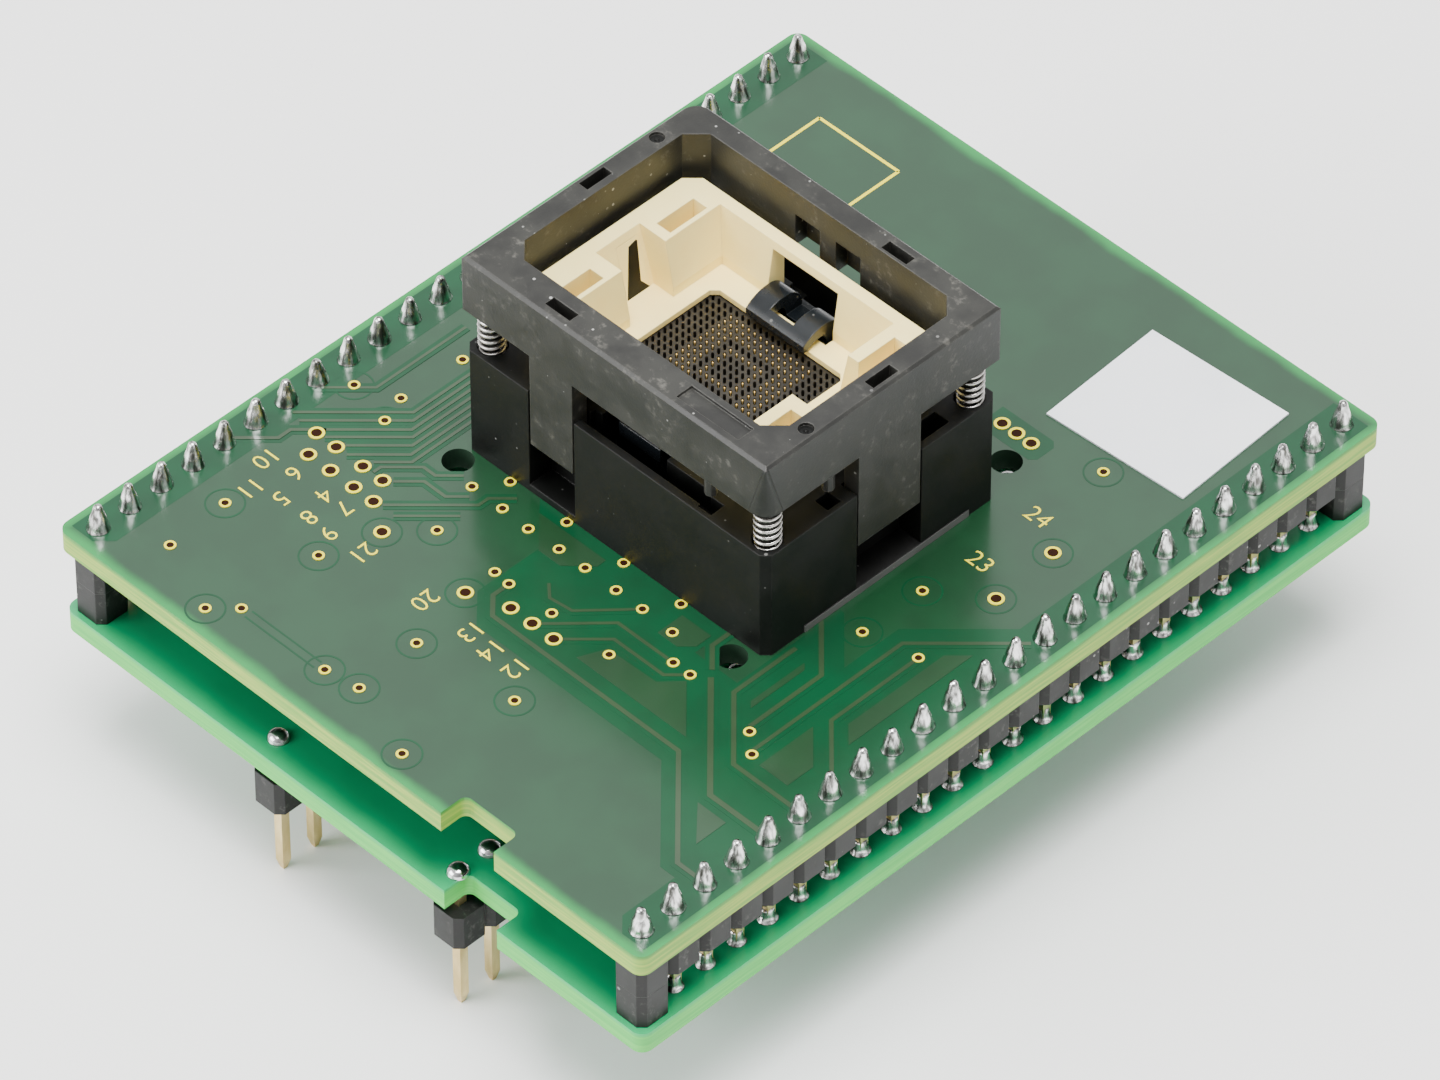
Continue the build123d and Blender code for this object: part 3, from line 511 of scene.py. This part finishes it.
def masked_copper(name, colour, tint, coat=1.0):
    """The same mask where it lies on a track or in a gap: a smooth gloss with a slow drift."""
    material, tree, shader = new_material(name)
    drift = noise(tree, object_place(tree), 300.0, 4.0)
    tone = blend_colours(tree, fade(tree, drift, 0.35, 0.65), linear(*colour), linear(*tint))
    gloss = calculate(tree, "MULTIPLY_ADD", drift, 0.1, 0.27)
    feed(tree, shader, Base_Color=tone, Roughness=gloss, Coat_Weight=coat,
         Coat_Roughness=COAT_ROUGHNESS, Specular_IOR_Level=0.5 * coat)
    return material


half_size = (board_high[:2] - board_low[:2]) / 2 * MM
lower_margin = 0.1 * MM
top_green = green_board("top_board_mask", (12, 58, 31), (10, 52, 27), (2, 128, 54), (150, 176, 66),
                        (108, 158, 58), deck * MM, half_size, 0.0009)
lower_green = green_board("lower_board_mask", (7, 140, 88), (7, 132, 82), (6, 166, 98), (88, 190, 82),
                          (66, 178, 74), lower_deck * MM, half_size - lower_margin, 0.0014)
gap_green = masked_copper("bare_gap_mask", (4, 64, 36), (4, 58, 32), 0.6)
track_green = masked_copper("track_mask", (40, 62, 36), (35, 56, 32))
pour_green = masked_copper("island_mask", (24, 58, 32), (21, 53, 28))
print("finishes so far:", len(bpy.data.materials))

# %% [markdown]
# ## Dressing the CAD pieces
# The CAD shapes that are already right only need their finish, put in their material slot.

# %% Finishes on CAD pieces
def dress(node_name, finish):
    """Puts a finish in the material slot of a CAD piece."""
    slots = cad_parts[node_name].data.materials
    slots.clear()
    slots.append(finish)


finishes = [
    (top_green, "top_board"), (lower_green, "lower_board"), (base_black, "socket_base"),
    (cover_grey, "socket_cover"), (nest_beige, "package_nest"), (block_dark, "contact_block"),
    (plate_grey, "base_plate"), (latch_dark, "latch_north latch_south"), (spring_steel, "latch_pivot_pins"),
    (header_black, "link_strip_left link_strip_right dil_strip_left dil_strip_right corner_spacers"),
    (pin_gold, "link_pins_left link_pins_right dil_pins_left dil_pins_right"),
]
for finish, node_names in finishes:
    for node_name in node_names.split():
        dress(node_name, finish)
print("finishes on CAD pieces:", len(finishes))

# %% [markdown]
# ## Blank sticker
# A nearly square white paper lies slightly turned on the board. A fine fibre noise gives it a
# tone, and it is dull next to the glossy mask.

# %% Paper finish
paper, tree, shader = new_material("sticker_paper")
place = object_place(tree)
fibre = noise(tree, place, 5000.0, 4.0)
tone = blend_colours(tree, fade(tree, noise(tree, place, 150.0), 0.35, 0.7), linear(240, 243, 246),
                     linear(232, 236, 240))
tone = blend_colours(tree, calculate(tree, "MULTIPLY", fibre, 0.12), tone, linear(205, 208, 210))
feed(tree, shader, Base_Color=tone, Roughness=0.55, Normal=raised(tree, fibre, 0.2, 0.00001))
dress("blank_label", paper)

# %% [markdown]
# ## Tapering slot of the nest
# Behind the package the nest has a slot that narrows upwards, and the black base shows through
# it. The CAD slot is straight and deeper, so a beige block fills it flush with the sloping
# wall, and a thin dark sheet in the tapering outline lies on that wall: the black base seen
# through the opening and the shade in it, painted on.

# %% Slot filler and dark slot
nest_low, nest_high = in_mm(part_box("package_nest"))
ledge = nest_low[2] + 0.4
wall_foot, wall_top, lintel = nest_low[0] + 2.2, nest_low[0] + 1.0, nest_high[2] - 0.6
wall_lean = (wall_top - wall_foot) / (nest_high[2] - ledge)


def on_wall(y, height, forward=0.0):
    """A point of the sloping west wall at that height over the ledge, moved forward of it."""
    return wall_foot + wall_lean * height + forward, socket_y + y, ledge + height


FILL_SOUTH, FILL_LENGTH, PROUD_OF_WALL = -0.395, 1.85, 0.012
slot_side = [on_wall(FILL_SOUTH, 0), on_wall(FILL_SOUTH, lintel - ledge)]
slot_back = [(nest_low[0] + 0.05, socket_y + FILL_SOUTH, z) for z in (lintel, ledge)]
make_piece("nest_slot_filler", [prism(slot_side + slot_back, (0, FILL_LENGTH, 0))], nest_beige, "boards",
           False)
# The dark sheet is painted shade with the base's black, standing where the opening is.
dark_slot = [(-0.42, 0.0), (1.43, 0.0), (0.87, 0.68), (1.3, 3.2), (1.2, 3.28), (0.56, 3.13)]
slot_shade_sheet = prism([on_wall(y, z, PROUD_OF_WALL) for y, z in dark_slot], (-0.02, 0, 0))
make_piece("nest_slot_shade", [slot_shade_sheet], base_black, "boards", False)

# %% [markdown]
# ## Copper under the mask
# Most of the top board is a copper pour. Channels without copper, where the mask looks a
# deeper green, run round the tracks, and each track is a thin raised line. The relief is only
# some hundredths of a millimetre, so every level is a flat ribbon or plate of its own, stacked
# gap, copper, gold. Gap and copper are sunk a little into the board. Most bends are 45
# degrees, as board tools draw them.

# %% Levels of the relief and the channel routes
GAP, ISLAND, TRACK, GOLD, STEP = 0.009, 0.03, 0.04, 0.055, 0.0008
sunk = deck - 0.01
fan = [(route, 0.22) for route in (
    [(-21.9, -14.4), (-16.8, -9.3), (-16.8, -3.0)],
    [(-21.1, -14.6), (-16.3, -9.8), (-16.3, -3.2)],
    [(-19.5, -14.1), (-15.8, -10.4), (-15.8, -3.4)],
    [(-19.0, -14.5), (-15.3, -10.8), (-15.3, -3.6)],
    [(-17.6, -14.1), (-14.8, -11.3), (-14.8, -3.8)],
    [(-17.0, -14.6), (-14.3, -11.9), (-14.3, -4.0)],
    [(-15.4, -13.9), (-13.8, -12.3), (-13.8, -4.2)],
    [(-14.8, -14.5), (-14.8, -13.9), (-13.0, -12.1), (-12.0, -12.1), (-10.8, -10.9)],
    [(-13.4, -14.2), (-12.1, -12.9), (-10.3, -12.9), (-9.3, -11.9)],
    [(-12.4, -16.0), (-8.4, -12.0), (-8.4, -11.2), (-7.2, -10.0)])]
fan = [([(-22.8, -18.4), (-20.9, -16.5), (-20.9, -15.5), (-19.4, -14.0)], 0.25)] + fan
fan += [([(-11.3, -16.2), (-8.5, -13.4)], 0.2)]
front = [
    ([(-2.4, -15.3), (-2.4, -16.6), (-1.2, -17.8), (14.3, -17.8), (20.6, -24.1), (22.6, -24.1)], 0.3),
    ([(0.9, -16.6), (1.9, -15.6), (4.4, -13.0), (7.6, -13.0), (9.0, -13.0)], 0.22),
    ([(2.7, -16.6), (5.2, -14.1), (9.3, -14.1), (10.2, -13.2)], 0.22),
    ([(-0.8, -13.6), (0.1, -14.4), (1.8, -14.2), (4.6, -11.2)], 0.2),
    ([(11.4, -12.3), (18.1, -19.0), (22.6, -19.0)], 0.36),
    ([(9.6, -9.0), (9.6, -10.4), (11.0, -11.8)], 0.3),
    ([(13.2, -7.1), (13.2, -12.2), (17.3, -16.3), (22.6, -16.3)], 0.3),
    ([(12.6, -4.4), (15.8, -7.6), (15.8, -13.5)], 0.3),
    ([(22.6, 2.9), (17.3, -2.4), (17.3, -14.8)], 0.26),
    ([(18.8, -2.6), (18.8, -9.8), (22.6, -13.6)], 0.26),
]
routes = fan + front + [([(-22.4, -11.9), (-19.9, -9.4), (-19.9, -2.0)], 0.2)]
print("routes:", len(routes))

# %% [markdown]
# ## Gaps, islands and tracks as meshes
# The channel of a route is the same ribbon as its track, about half a millimetre wider, and
# lower. Where channels cross they would share a plane and flicker, so each lies a hair above
# the last, and the wide areas lie a hair below.

# %% Gap areas, islands of copper and tracks
clear_areas = [
    [(-6.3, -9.0), (-3.3, -12.0), (-3.3, -17.0), (-1.3, -19.0), (14.1, -19.0), (20.1, -25.0),
     (21.7, -25.0), (21.7, 3.7), (16.3, -1.7), (16.3, -6.2), (13.1, -3.0), (12.8, -3.0), (12.8, -11.5),
     (9.3, -11.5), (9.3, -9.0)],
    [(21.3, -29.2), (22.3, -30.2), (24.1, -30.2), (24.1, 30.2), (21.3, 30.2)],
    [(-24.1, -30.2), (-22.3, -30.2), (-21.3, -29.2), (-21.3, 30.2), (-24.1, 30.2)],
    [(7.6, 13.8), (11.8, 13.8), (12.2, 14.2), (12.2, 15.6), (11.8, 16.0), (7.6, 16.0)],
]
islands = [
    [(4.7, -16.7), (13.8, -16.7), (10.6, -13.5), (9.4, -14.8), (5.5, -14.9)],
    [(18.4, -15.3), (20.7, -15.3), (20.7, -13.2), (18.4, -10.9)],
    [(19.7, -9.3), (20.9, -10.5), (20.9, -0.2), (19.7, -1.4)],
    [(18.0, -19.9), (20.3, -19.9), (20.3, -22.3)],
    [(14.4, -12.0), (14.8, -12.4), (14.8, -8.0), (14.4, -7.6)],
    [(-5.4, -9.9), (-3.2, -12.1), (-1.4, -12.1), (0.2, -10.6), (0.2, -9.9)],
    [(6.6, -11.9), (8.2, -11.9), (9.0, -11.1), (9.0, -9.9), (6.6, -9.9)],
]
CHANNEL_EXTRA = 0.55
channels = [ribbon(route, width + CHANNEL_EXTRA, sunk, deck + GAP + STEP * k)
            for k, (route, width) in enumerate(routes)]
channels += [plate(area, sunk, deck + GAP - STEP * (k + 1)) for k, area in enumerate(clear_areas)]
channels += [ribbon([(-11.4, y), (-5.5, y)], 0.12, sunk, deck + GAP) for y in (-28.1, -27.5)]
copper = [plate(area, sunk, deck + ISLAND) for area in islands]
tracks = [ribbon(route, width, sunk, deck + TRACK) for route, width in routes]
for name, shapes, finish in (("bare_channels", channels, gap_green), ("copper_islands", copper, pour_green),
                             ("copper_tracks", tracks, track_green)):
    make_piece(name, shapes, finish, "boards", False)

# %% [markdown]
# ## Vias
# A via is a plated hole: a gold ring with a dark hole in it, and where it stands alone in the
# pour, a thin round gap about it. A ring is a small rectangle turned about its axis, and
# all rings of one size are copies made in a single array step.

# %% Via places
small_vias = [
    (-13.5, -29.3), (3.2, -29.3), (-18.8, -27.2), (-12.0, -27.8), (-4.9, -27.8), (-2.4, -27.4),
    (-19.1, -22.5), (-12.0, -21.6), (-2.7, -22.5), (4.7, -21.7), (-8.6, -15.2), (-21.0, -10.2),
    (-17.5, -11.0), (-18.2, -9.0), (-18.0, -4.1), (-8.5, -9.3), (-9.8, -11.2), (-7.2, -11.2),
    (-3.7, -9.3), (-4.9, -11.3), (-2.4, -11.2), (-0.2, -11.2), (1.1, -9.3), (-3.7, -15.2),
    (-2.4, -15.3), (2.4, -11.2), (4.6, -11.2), (1.1, -15.2), (5.9, -9.3), (7.2, -11.3), (5.9, -15.2),
    (9.0, -13.0), (10.4, -13.0), (15.1, 1.5), (15.0, -3.4), (18.8, -2.6), (16.1, -13.8),
    (17.5, -15.0), (15.7, 16.2),
]
big_vias = [
    (-10.8, -17.6), (-3.7, -17.6), (-19.6, -14.6), (-17.9, -14.6), (-15.6, -14.6), (-14.7, -16.2),
    (-13.9, -14.6), (-13.0, -16.2), (-18.6, -16.2), (-16.7, -16.2), (-0.9, -16.6), (0.9, -16.6),
    (2.7, -16.6), (18.6, 4.1), (18.3, 9.2), (11.0, 14.9), (9.8, 14.9), (8.6, 14.9),
]
lone_vias = small_vias[:2] + small_vias[4:13] + big_vias[:2] + [
    (18.6, 4.1), (18.3, 9.2), (15.1, 1.5), (15.0, -3.4), (15.7, 16.2)]
print("vias:", len(small_vias), "small,", len(big_vias), "big,", len(lone_vias), "with a gap ring")

# %% [markdown]
# ## Rings, holes and thin circles
# The bare ring shines like brass. The hole is a brown disc a little below the ring's top, a
# painted shade in place of a real hole, which would have to be cut in the CAD board.

# %% Rings, holes and gap circles
via_hole_shade, tree, shader = new_material("via_hole")
hole_shade_drift = noise(tree, object_place(tree), 4000.0)
feed(tree, shader, Base_Color=blend_colours(tree, hole_shade_drift, linear(26, 9, 1), linear(44, 17, 3)), Roughness=0.6,
     Specular_IOR_Level=0.1)


def ring_shape(outer, inner, height, segments=20):
    """A flat ring with square corners: its four corner circles joined into a closed band."""
    return revolve([(outer, 0.0), (outer, height), (inner, height), (inner, 0.0)], segments, True)


def on_deck(places):
    """Plan places lifted to the top board's upper face."""
    return [(x, y, deck) for x, y in places]


HOLE_LOW, HOLE_TOP = 0.009, 0.043
via_kinds = [(on_deck(small_vias), 0.375, 0.225, 0.23), (on_deck(big_vias), 0.515, 0.335, 0.34)]
make_piece("via_rings", [repeat(ring_shape(outer, inner, GOLD), places)
                         for places, outer, inner, _ in via_kinds],
           trace_gold, "boards", False)
plugs = [repeat(revolve([(0, HOLE_LOW), (hole, HOLE_LOW), (hole, HOLE_TOP), (0, HOLE_TOP)], 20), places)
         for places, _, _, hole in via_kinds]
make_piece("via_holes", plugs, via_hole_shade, "boards", False)
make_piece("via_gaps", [repeat(ring_shape(1.25, 1.13, GAP + 0.003, 40), on_deck(lone_vias))],
           gap_green, "boards", False)

# %% [markdown]
# ## Numbers and outline in bare gold
# Plain numbers beside the test points are bare copper, as is one rectangle behind the socket.
# Blender's own font makes the figures, and all but the two at the right are turned a quarter.

# %% Numbers beside the vias
number_places = [
    ("10", -20.2, -18.2), ("6", -18.1, -17.9), ("11", -19.0, -20.6), ("5", -17.1, -19.9),
    ("4", -15.5, -17.9), ("7", -13.9, -17.8), ("8", -14.8, -19.8), ("9", -13.0, -19.9),
    ("21", -10.4, -19.6), ("20", -5.0, -19.7), ("13", -1.2, -19.6), ("14", 0.7, -19.8),
    ("12", 2.8, -19.8), ("23", 15.8, 5.6), ("24", 15.6, 10.7),
]
FIGURE_LIFT, UPRIGHT_FROM_X = 0.014, 10
joined = bmesh.new()
for figures, x, y in number_places:
    lettering = bpy.data.curves.new("number", "FONT")
    lettering.body = figures
    lettering.size = 1.75 * MM
    lettering.extrude = 0.004 * MM
    lettering.offset = -0.015 * MM
    lettering.align_x = lettering.align_y = "CENTER"
    lettering.resolution_u = 3
    holder = bpy.data.objects.new("number", lettering)
    flat_mesh = bpy.data.meshes.new_from_object(holder)
    turn = 0 if x > UPRIGHT_FROM_X else -math.pi / 2
    flat_mesh.transform(Matrix.Translation((x * MM, y * MM, (deck + FIGURE_LIFT) * MM))
                        @ Matrix.Rotation(turn, 4, "Z"))
    joined.from_mesh(flat_mesh)
    bpy.data.objects.remove(holder)
bmesh.ops.remove_doubles(joined, verts=joined.verts, dist=1e-8)
numbers_mesh = bpy.data.meshes.new("board_numbers")
joined.to_mesh(numbers_mesh)
joined.free()
numbers_mesh.materials.append(trace_gold)
numbers = add_object("board_numbers", numbers_mesh)
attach(numbers, "boards")
corners = [(-18.0, 18.0), (-18.0, 26.2), (-11.2, 26.2), (-11.2, 18.0)]
sides = [ribbon([corners[k], corners[(k + 1) % 4]], 0.22, deck, deck + 0.016) for k in range(4)]
make_piece("gold_outline", sides, trace_gold, "boards", False)

# %% [markdown]
# ## Solder
# Each link pin ends in a tall bullet of solder with a flared foot, each long pin in a shiny
# dome, and the pins meet the lower board in short skirts. A profile turned about the pin gives
# each shape. No two joints are alike, so every copy gets its own stretch and lean from a
# seeded generator.

# %% Solder joints
dice = np.random.default_rng(7)


def joint_places(x, level, rows=row_y):
    """One place for each pin of the two rows at plus and minus x."""
    return [(side * x, y, level) for side in (-1, 1) for y in rows]


def uneven(count, spread, tilt):
    """Random stretches near one and small leans for so many copies."""
    return 1 + spread * dice.uniform(-1, 1, (count, 3)), tilt * dice.uniform(-1, 1, (count, 2))


bullet = revolve([(0, 0), (0.74, 0), (0.71, 0.06), (0.66, 0.17), (0.62, 0.36), (0.58, 0.56), (0.53, 0.76),
                  (0.47, 0.95), (0.4, 1.13), (0.34, 1.32), (0.3, 1.5), (0.25, 1.66), (0.16, 1.76),
                  (0, 1.8)], 20)
stretch, lean = uneven(48, 0.055, 0.035)
link_joints = make_piece("link_solder_joints", [repeat(bullet, joint_places(LINK_X, deck), stretch, lean)],
                         solder_painted_reflections, "boards")
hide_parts("link_solder")
rise = np.linspace(0, math.pi / 2, 8)
dome_profile = [(0, 0), (0.74, 0)] + [(0.7 * math.cos(a), 0.06 + 0.5 * math.sin(a)) for a in rise]
stretch, lean = uneven(48, 0.05, 0.06)
domes = make_piece("dil_solder_domes", [repeat(revolve(dome_profile, 24),
                                               joint_places(DIL_X, lower_deck), stretch, lean)],
                   dome_bright, "boards")
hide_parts("dil_solder")
skirt = revolve([(0, 0), (0.66, 0), (0.63, 0.06), (0.52, 0.2), (0.46, 0.5), (0.43, 0.9), (0.4, 1.05),
                 (0, 1.07)], 16)
stretch, lean = uneven(44, 0.08, 0.03)
make_piece("lower_solder_skirts", [repeat(skirt, joint_places(LINK_X, lower_deck, row_y[1:-1]),
                                          stretch, lean)],
           solder_painted_reflections, "boards")

# %% [markdown]
# ## Cover springs
# Four coil springs lift the cover. A coil is a circle carried along a helix: the point's
# distance from the axis is the coil radius plus the wire's radius times a cosine, and its
# height adds the sine. Most of the last turn at each end lies flat. The CAD has plain
# eight-sided sleeves, which these replace. They stand a hair nearer the middle, so that the
# pressed cover's cut corner clears them.

# %% Coil springs
spring_low, spring_high = in_mm(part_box("cover_springs"))
OUTER, WIRE, TURNS, FLAT_TURN, INSET = 0.88, 0.125, 17, 0.8, 0.035
sleeve_reach = OUTER * math.cos(math.pi / 8)
spring_x = spring_high[0] - sleeve_reach
spring_y = (spring_high[1] - spring_low[1]) / 2 - sleeve_reach


def coil(turns, radius, wire, bottom, top, per_turn=22, round_wire=7):
    """A wire along a helix whose ends are closed: the climb is zero over the flat part of the
    first and last turn and even between them."""
    turn = np.linspace(0, turns, turns * per_turn + 1)
    climbing = turns - 2 * FLAT_TURN
    climb = np.clip(turn - FLAT_TURN, 0, climbing) / climbing
    height = bottom + wire + climb * (top - bottom - 2 * wire)
    angle = 2 * math.pi * turn[:, None]
    ring = 2 * math.pi * np.arange(round_wire)[None] / round_wire
    reach = radius + wire * np.cos(ring)
    points = np.stack([reach * np.cos(angle), reach * np.sin(angle),
                       height[:, None] + wire * np.sin(ring) + 0 * angle], axis=-1)
    ends = np.array([np.arange(round_wire), np.arange(round_wire) + len(turn) * round_wire - round_wire])
    return points.reshape(-1, 3), [grid_faces(len(turn), round_wire, True), ends]


one_coil = coil(TURNS, OUTER - WIRE, WIRE, spring_low[2], spring_high[2])
spring_places = [(sx * (spring_x - INSET), socket_y + sy * (spring_y - INSET), 0)
                 for sx in (-1, 1) for sy in (-1, 1)]
springs = make_piece("coil_springs", [repeat(one_coil, spring_places)], spring_steel, "boards")
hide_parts("cover_springs")
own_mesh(springs)

# %% [markdown]
# ## Rounded corner of the cover
# The cover's front corner is sharp at the top and rounded at the foot, where it wraps a spring.
# The CAD cuts that corner flat. A thin cone-shaped shell in front of the flat gives the round:
# at each height it is a quarter circle that touches both sides of the cover, with a short
# straight lip at each end. Its back stands just in front of the middle of the flat.

# %% Corner shell
cover_low, cover_high = in_mm(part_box("socket_cover"))
FACET, COVER_DEPTH, TOP_CHAMFER = 1.3, 4.3, 0.2
quarter = np.linspace(-math.pi / 2, 0, 25)
radii = FACET * np.array([1.0, TOP_CHAMFER / COVER_DEPTH])[:, None]
outward = np.column_stack([np.cos(quarter) - 1, 1 + np.sin(quarter)])
BACK = 0.483
outward = np.vstack([[(-1, 0)], outward, [(0, 1), (-BACK, BACK)]])
LIP, PROUD = 0.16, 0.008
extra = np.vstack([[(-LIP, -PROUD)], np.tile([(PROUD, -PROUD)], (len(quarter), 1)), [(PROUD, LIP), (0, 0)]])
shell_xy = np.array([cover_high[0], cover_low[1]]) + radii[..., None] * outward + extra
shell_z = cover_high[2] - np.array([COVER_DEPTH, TOP_CHAMFER])[:, None] + 0 * shell_xy[..., 0]
shell_points = np.concatenate([shell_xy, shell_z[..., None]], axis=-1).reshape(-1, 3)
count = len(outward)
rim = np.arange(count)[None]
# Its finish is the cover plastic a little darker, as painted shade.
make_piece("cover_corner", [(shell_points, [grid_faces(2, count, True), rim[:, ::-1], rim + count])],
           corner_grey_shaded, "cover", False)

# %% [markdown]
# ## Dark round marks
# Two round pits in the cover's rim look dark, with a small pimple in the middle. A thin dark
# floor with a low bump in each pit paints that dark as shade, without touching the CAD.

# %% Floors of the round marks
MARK_X, MARK_Y, MARK_DEPTH, MARK_RADIUS = 0.8, 5.6, 0.25, 0.47
pit_x, pit_z = cover_high[0] - MARK_X, cover_high[2] - MARK_DEPTH
pits = [(pit_x, socket_y - MARK_Y, pit_z), (-pit_x, socket_y + MARK_Y, pit_z)]
floor_and_pimple = revolve([(0, 0), (MARK_RADIUS, 0), (MARK_RADIUS, 0.02), (0.13, 0.02), (0.09, 0.1),
                            (0, 0.12)], 20)
make_piece("round_marks", [repeat(floor_and_pimple, pits)], base_black, "cover", False)

# %% [markdown]
# ## Perforated slider
# The slider is a plate full of diagonal slots. One square cell with a slot is worked out once:
# eight points round the square and eight round the slot, above and below. Copies side by side
# make the plate, and of the walls between them only those on the rim are kept.

# %% Slotted plate
slider_low, slider_high = in_mm(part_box("contact_slider"))
CELL, COLUMNS, LINES = 0.5, 22, 16
SLOT_HALF_LENGTH, SLOT_HALF_WIDTH, SLOT_ROUNDNESS = 0.28, 0.1, 0.6


def rounded(wave):
    """A sine or cosine pushed outward, which turns an oval into a slot with round ends."""
    return (np.sign(wave) * np.abs(wave)**SLOT_ROUNDNESS)[:, None]


eighth = np.arange(8) * math.pi / 4
square = np.sign(np.round(np.stack([np.cos(eighth), np.sin(eighth)], 1), 6)) * CELL / 2
around = eighth - 3 * math.pi / 4
away = np.array([-1, 1]) / math.sqrt(2)
across = np.array([1, 1]) / math.sqrt(2)
slot_ring = (rounded(np.cos(around)) * SLOT_HALF_LENGTH * away
             - rounded(np.sin(around)) * SLOT_HALF_WIDTH * across)
levels = [(square, 0.0), (square, 1.0), (slot_ring, 1.0), (slot_ring, 0.0)]
thickness = slider_high[2] - slider_low[2]
cell_points = np.concatenate([np.column_stack([ring, np.full(8, level * thickness)])
                              for ring, level in levels])
cell_faces = grid_faces(4, 8, True, True)
columns = (np.arange(COLUMNS) - (COLUMNS - 1) / 2) * CELL
lines = (np.arange(LINES) - (LINES - 1) / 2) * CELL
cell_places = [(x, socket_y + y, slider_low[2]) for x in columns for y in lines]
field_points, (wall_faces, inner_faces) = repeat((cell_points, [cell_faces[:8], cell_faces[8:]]),
                                                 cell_places)
reach_x, reach_y = COLUMNS * CELL / 2, LINES * CELL / 2
middle = field_points[wall_faces].mean(axis=1)
on_rim = (np.abs(middle[:, 0]) > reach_x - 0.01) | (np.abs(middle[:, 1] - socket_y) > reach_y - 0.01)
field = field_points, [inner_faces, wall_faces[on_rim]]
reach_x, reach_y = reach_x + 0.001, reach_y + 0.001
edge_x, edge_y = slider_high[0], (slider_high[1] - slider_low[1]) / 2
spans = [(-edge_x, edge_x, -edge_y, -reach_y), (-edge_x, edge_x, reach_y, edge_y),
         (-edge_x, -reach_x, -reach_y, reach_y), (reach_x, edge_x, -reach_y, reach_y)]
borders = [plate([(w, socket_y + s), (e, socket_y + s), (e, socket_y + n), (w, socket_y + n)],
                 slider_low[2], slider_high[2]) for w, e, s, n in spans]
slider = make_piece("slotted_slider", [field] + borders, slider_grey, "slider", False)
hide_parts("contact_slider")

# %% [markdown]
# ## Contact tips
# The contacts follow the ball map of the package: three outer rings of a 14 by 14 grid, one
# inner ring and an index contact. Each is a thin round-nosed post of oval section, a little
# off the middle of its slot towards the far end.

# %% Contacts
SIDE, OFF_CENTRE, TIP_ABOVE, OVAL = 14, 0.1, 0.03, 0.4
index = np.arange(SIDE)
column, line = np.meshgrid(index, index)
depth = np.minimum(np.minimum(column, line), SIDE - 1 - np.maximum(column, line))
wanted = (depth < 3) | (depth == 4) | ((column == 3) & (line == 3))
contact_xy = np.column_stack([column[wanted], line[wanted]]) - (SIDE - 1) / 2
contact_xy = contact_xy * CELL + away * OFF_CENTRE + (0, socket_y)
block_top = in_mm(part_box("contact_block"))[1][2]
tip = slider_high[2] - block_top + TIP_ABOVE
post = revolve([(0, 0), (0.045, 0), (0.054, tip - 0.12), (0.05, tip - 0.03), (0.03, tip), (0, tip)], 8)
post[0][:, :2] += OVAL * (post[0][:, :2] @ away)[:, None] * away
contact_places = np.column_stack([contact_xy, np.full(len(contact_xy), block_top)])
tips = make_piece("contact_tips", [repeat(post, contact_places)], contact_gold, "boards")
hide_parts("contact_pins")
print("contacts:", len(contact_xy))

# %% [markdown]
# ## Floor and light
# The photograph has a white sweep and soft light from all round. The glossy mask mirrors it,
# so the board looks pale grey-green except where it mirrors the dark socket. Here
# the world gives that light, dimmer towards the right. The strongest lamp is above, the left
# one is half as strong, and those at the right and behind are faint.

# %% Floor
floor_paint, tree, shader = new_material("floor_paint")
soft = calculate(tree, "MULTIPLY", noise(tree, object_place(tree), 3.0), 0.3)
feed(tree, shader, Base_Color=blend_colours(tree, soft, linear(244, 244, 243), linear(238, 238, 238)),
     Roughness=0.9)
floor_mesh = bpy.data.meshes.new("floor")
HALF = 3.0
floor_mesh.from_pydata([(-HALF, -HALF, 0), (HALF, -HALF, 0), (HALF, HALF, 0), (-HALF, HALF, 0)], [],
                       [(0, 1, 2, 3)])
floor_mesh.materials.append(floor_paint)
floor = add_object("floor", floor_mesh)
print("floor is", 2 * HALF, "m wide")

# %% [markdown]
# ## Soft lights
# An area light is a rectangle that glows: the larger and nearer it is, the softer the shadow.
# Each one is given by its direction from the object.


# %% Lights
def soft_light(name, direction, distance, size, power):
    """A square area light that far away in that direction, turned to face the object."""
    data = bpy.data.lights.new(name, "AREA")
    data.shape = "RECTANGLE"
    data.size, data.size_y = size
    data.energy = power
    made = add_object(name, data)
    toward = Vector(direction).normalized()
    made.location = toward * distance + Vector((0, 0, 0.015))
    made.rotation_euler = toward.to_track_quat("Z", "Y").to_euler()


soft_light("back_light", (-0.62, 0.58, 0.72), 0.6, (0.75, 0.55), 0.25)
soft_light("top_light", (0.1, -0.1, 1.0), 0.7, (0.4, 0.4), 11.0)
soft_light("right_fill", (1.0, 0.1, 0.45), 0.7, (0.5, 0.4), 0.8)
soft_light("left_fill", (-0.5, -1.0, 0.5), 0.7, (0.5, 0.4), 5.5)
world = bpy.data.worlds.new("studio")
world.use_nodes = True
sky = world.node_tree
heading = add_node(sky, "SeparateXYZ", {"Vector": add_node(sky, "TexCoord").outputs["Generated"]})
evenness = fade(sky, heading.outputs["X"], -0.1, 0.8, 1.05, 0.4)
supply(sky, sky.nodes["Background"].inputs, {"Strength": evenness, "Color": (1.0, 1.0, 1.0, 1.0)})
bpy.context.scene.world = world
print("lights:", len(bpy.data.lights))
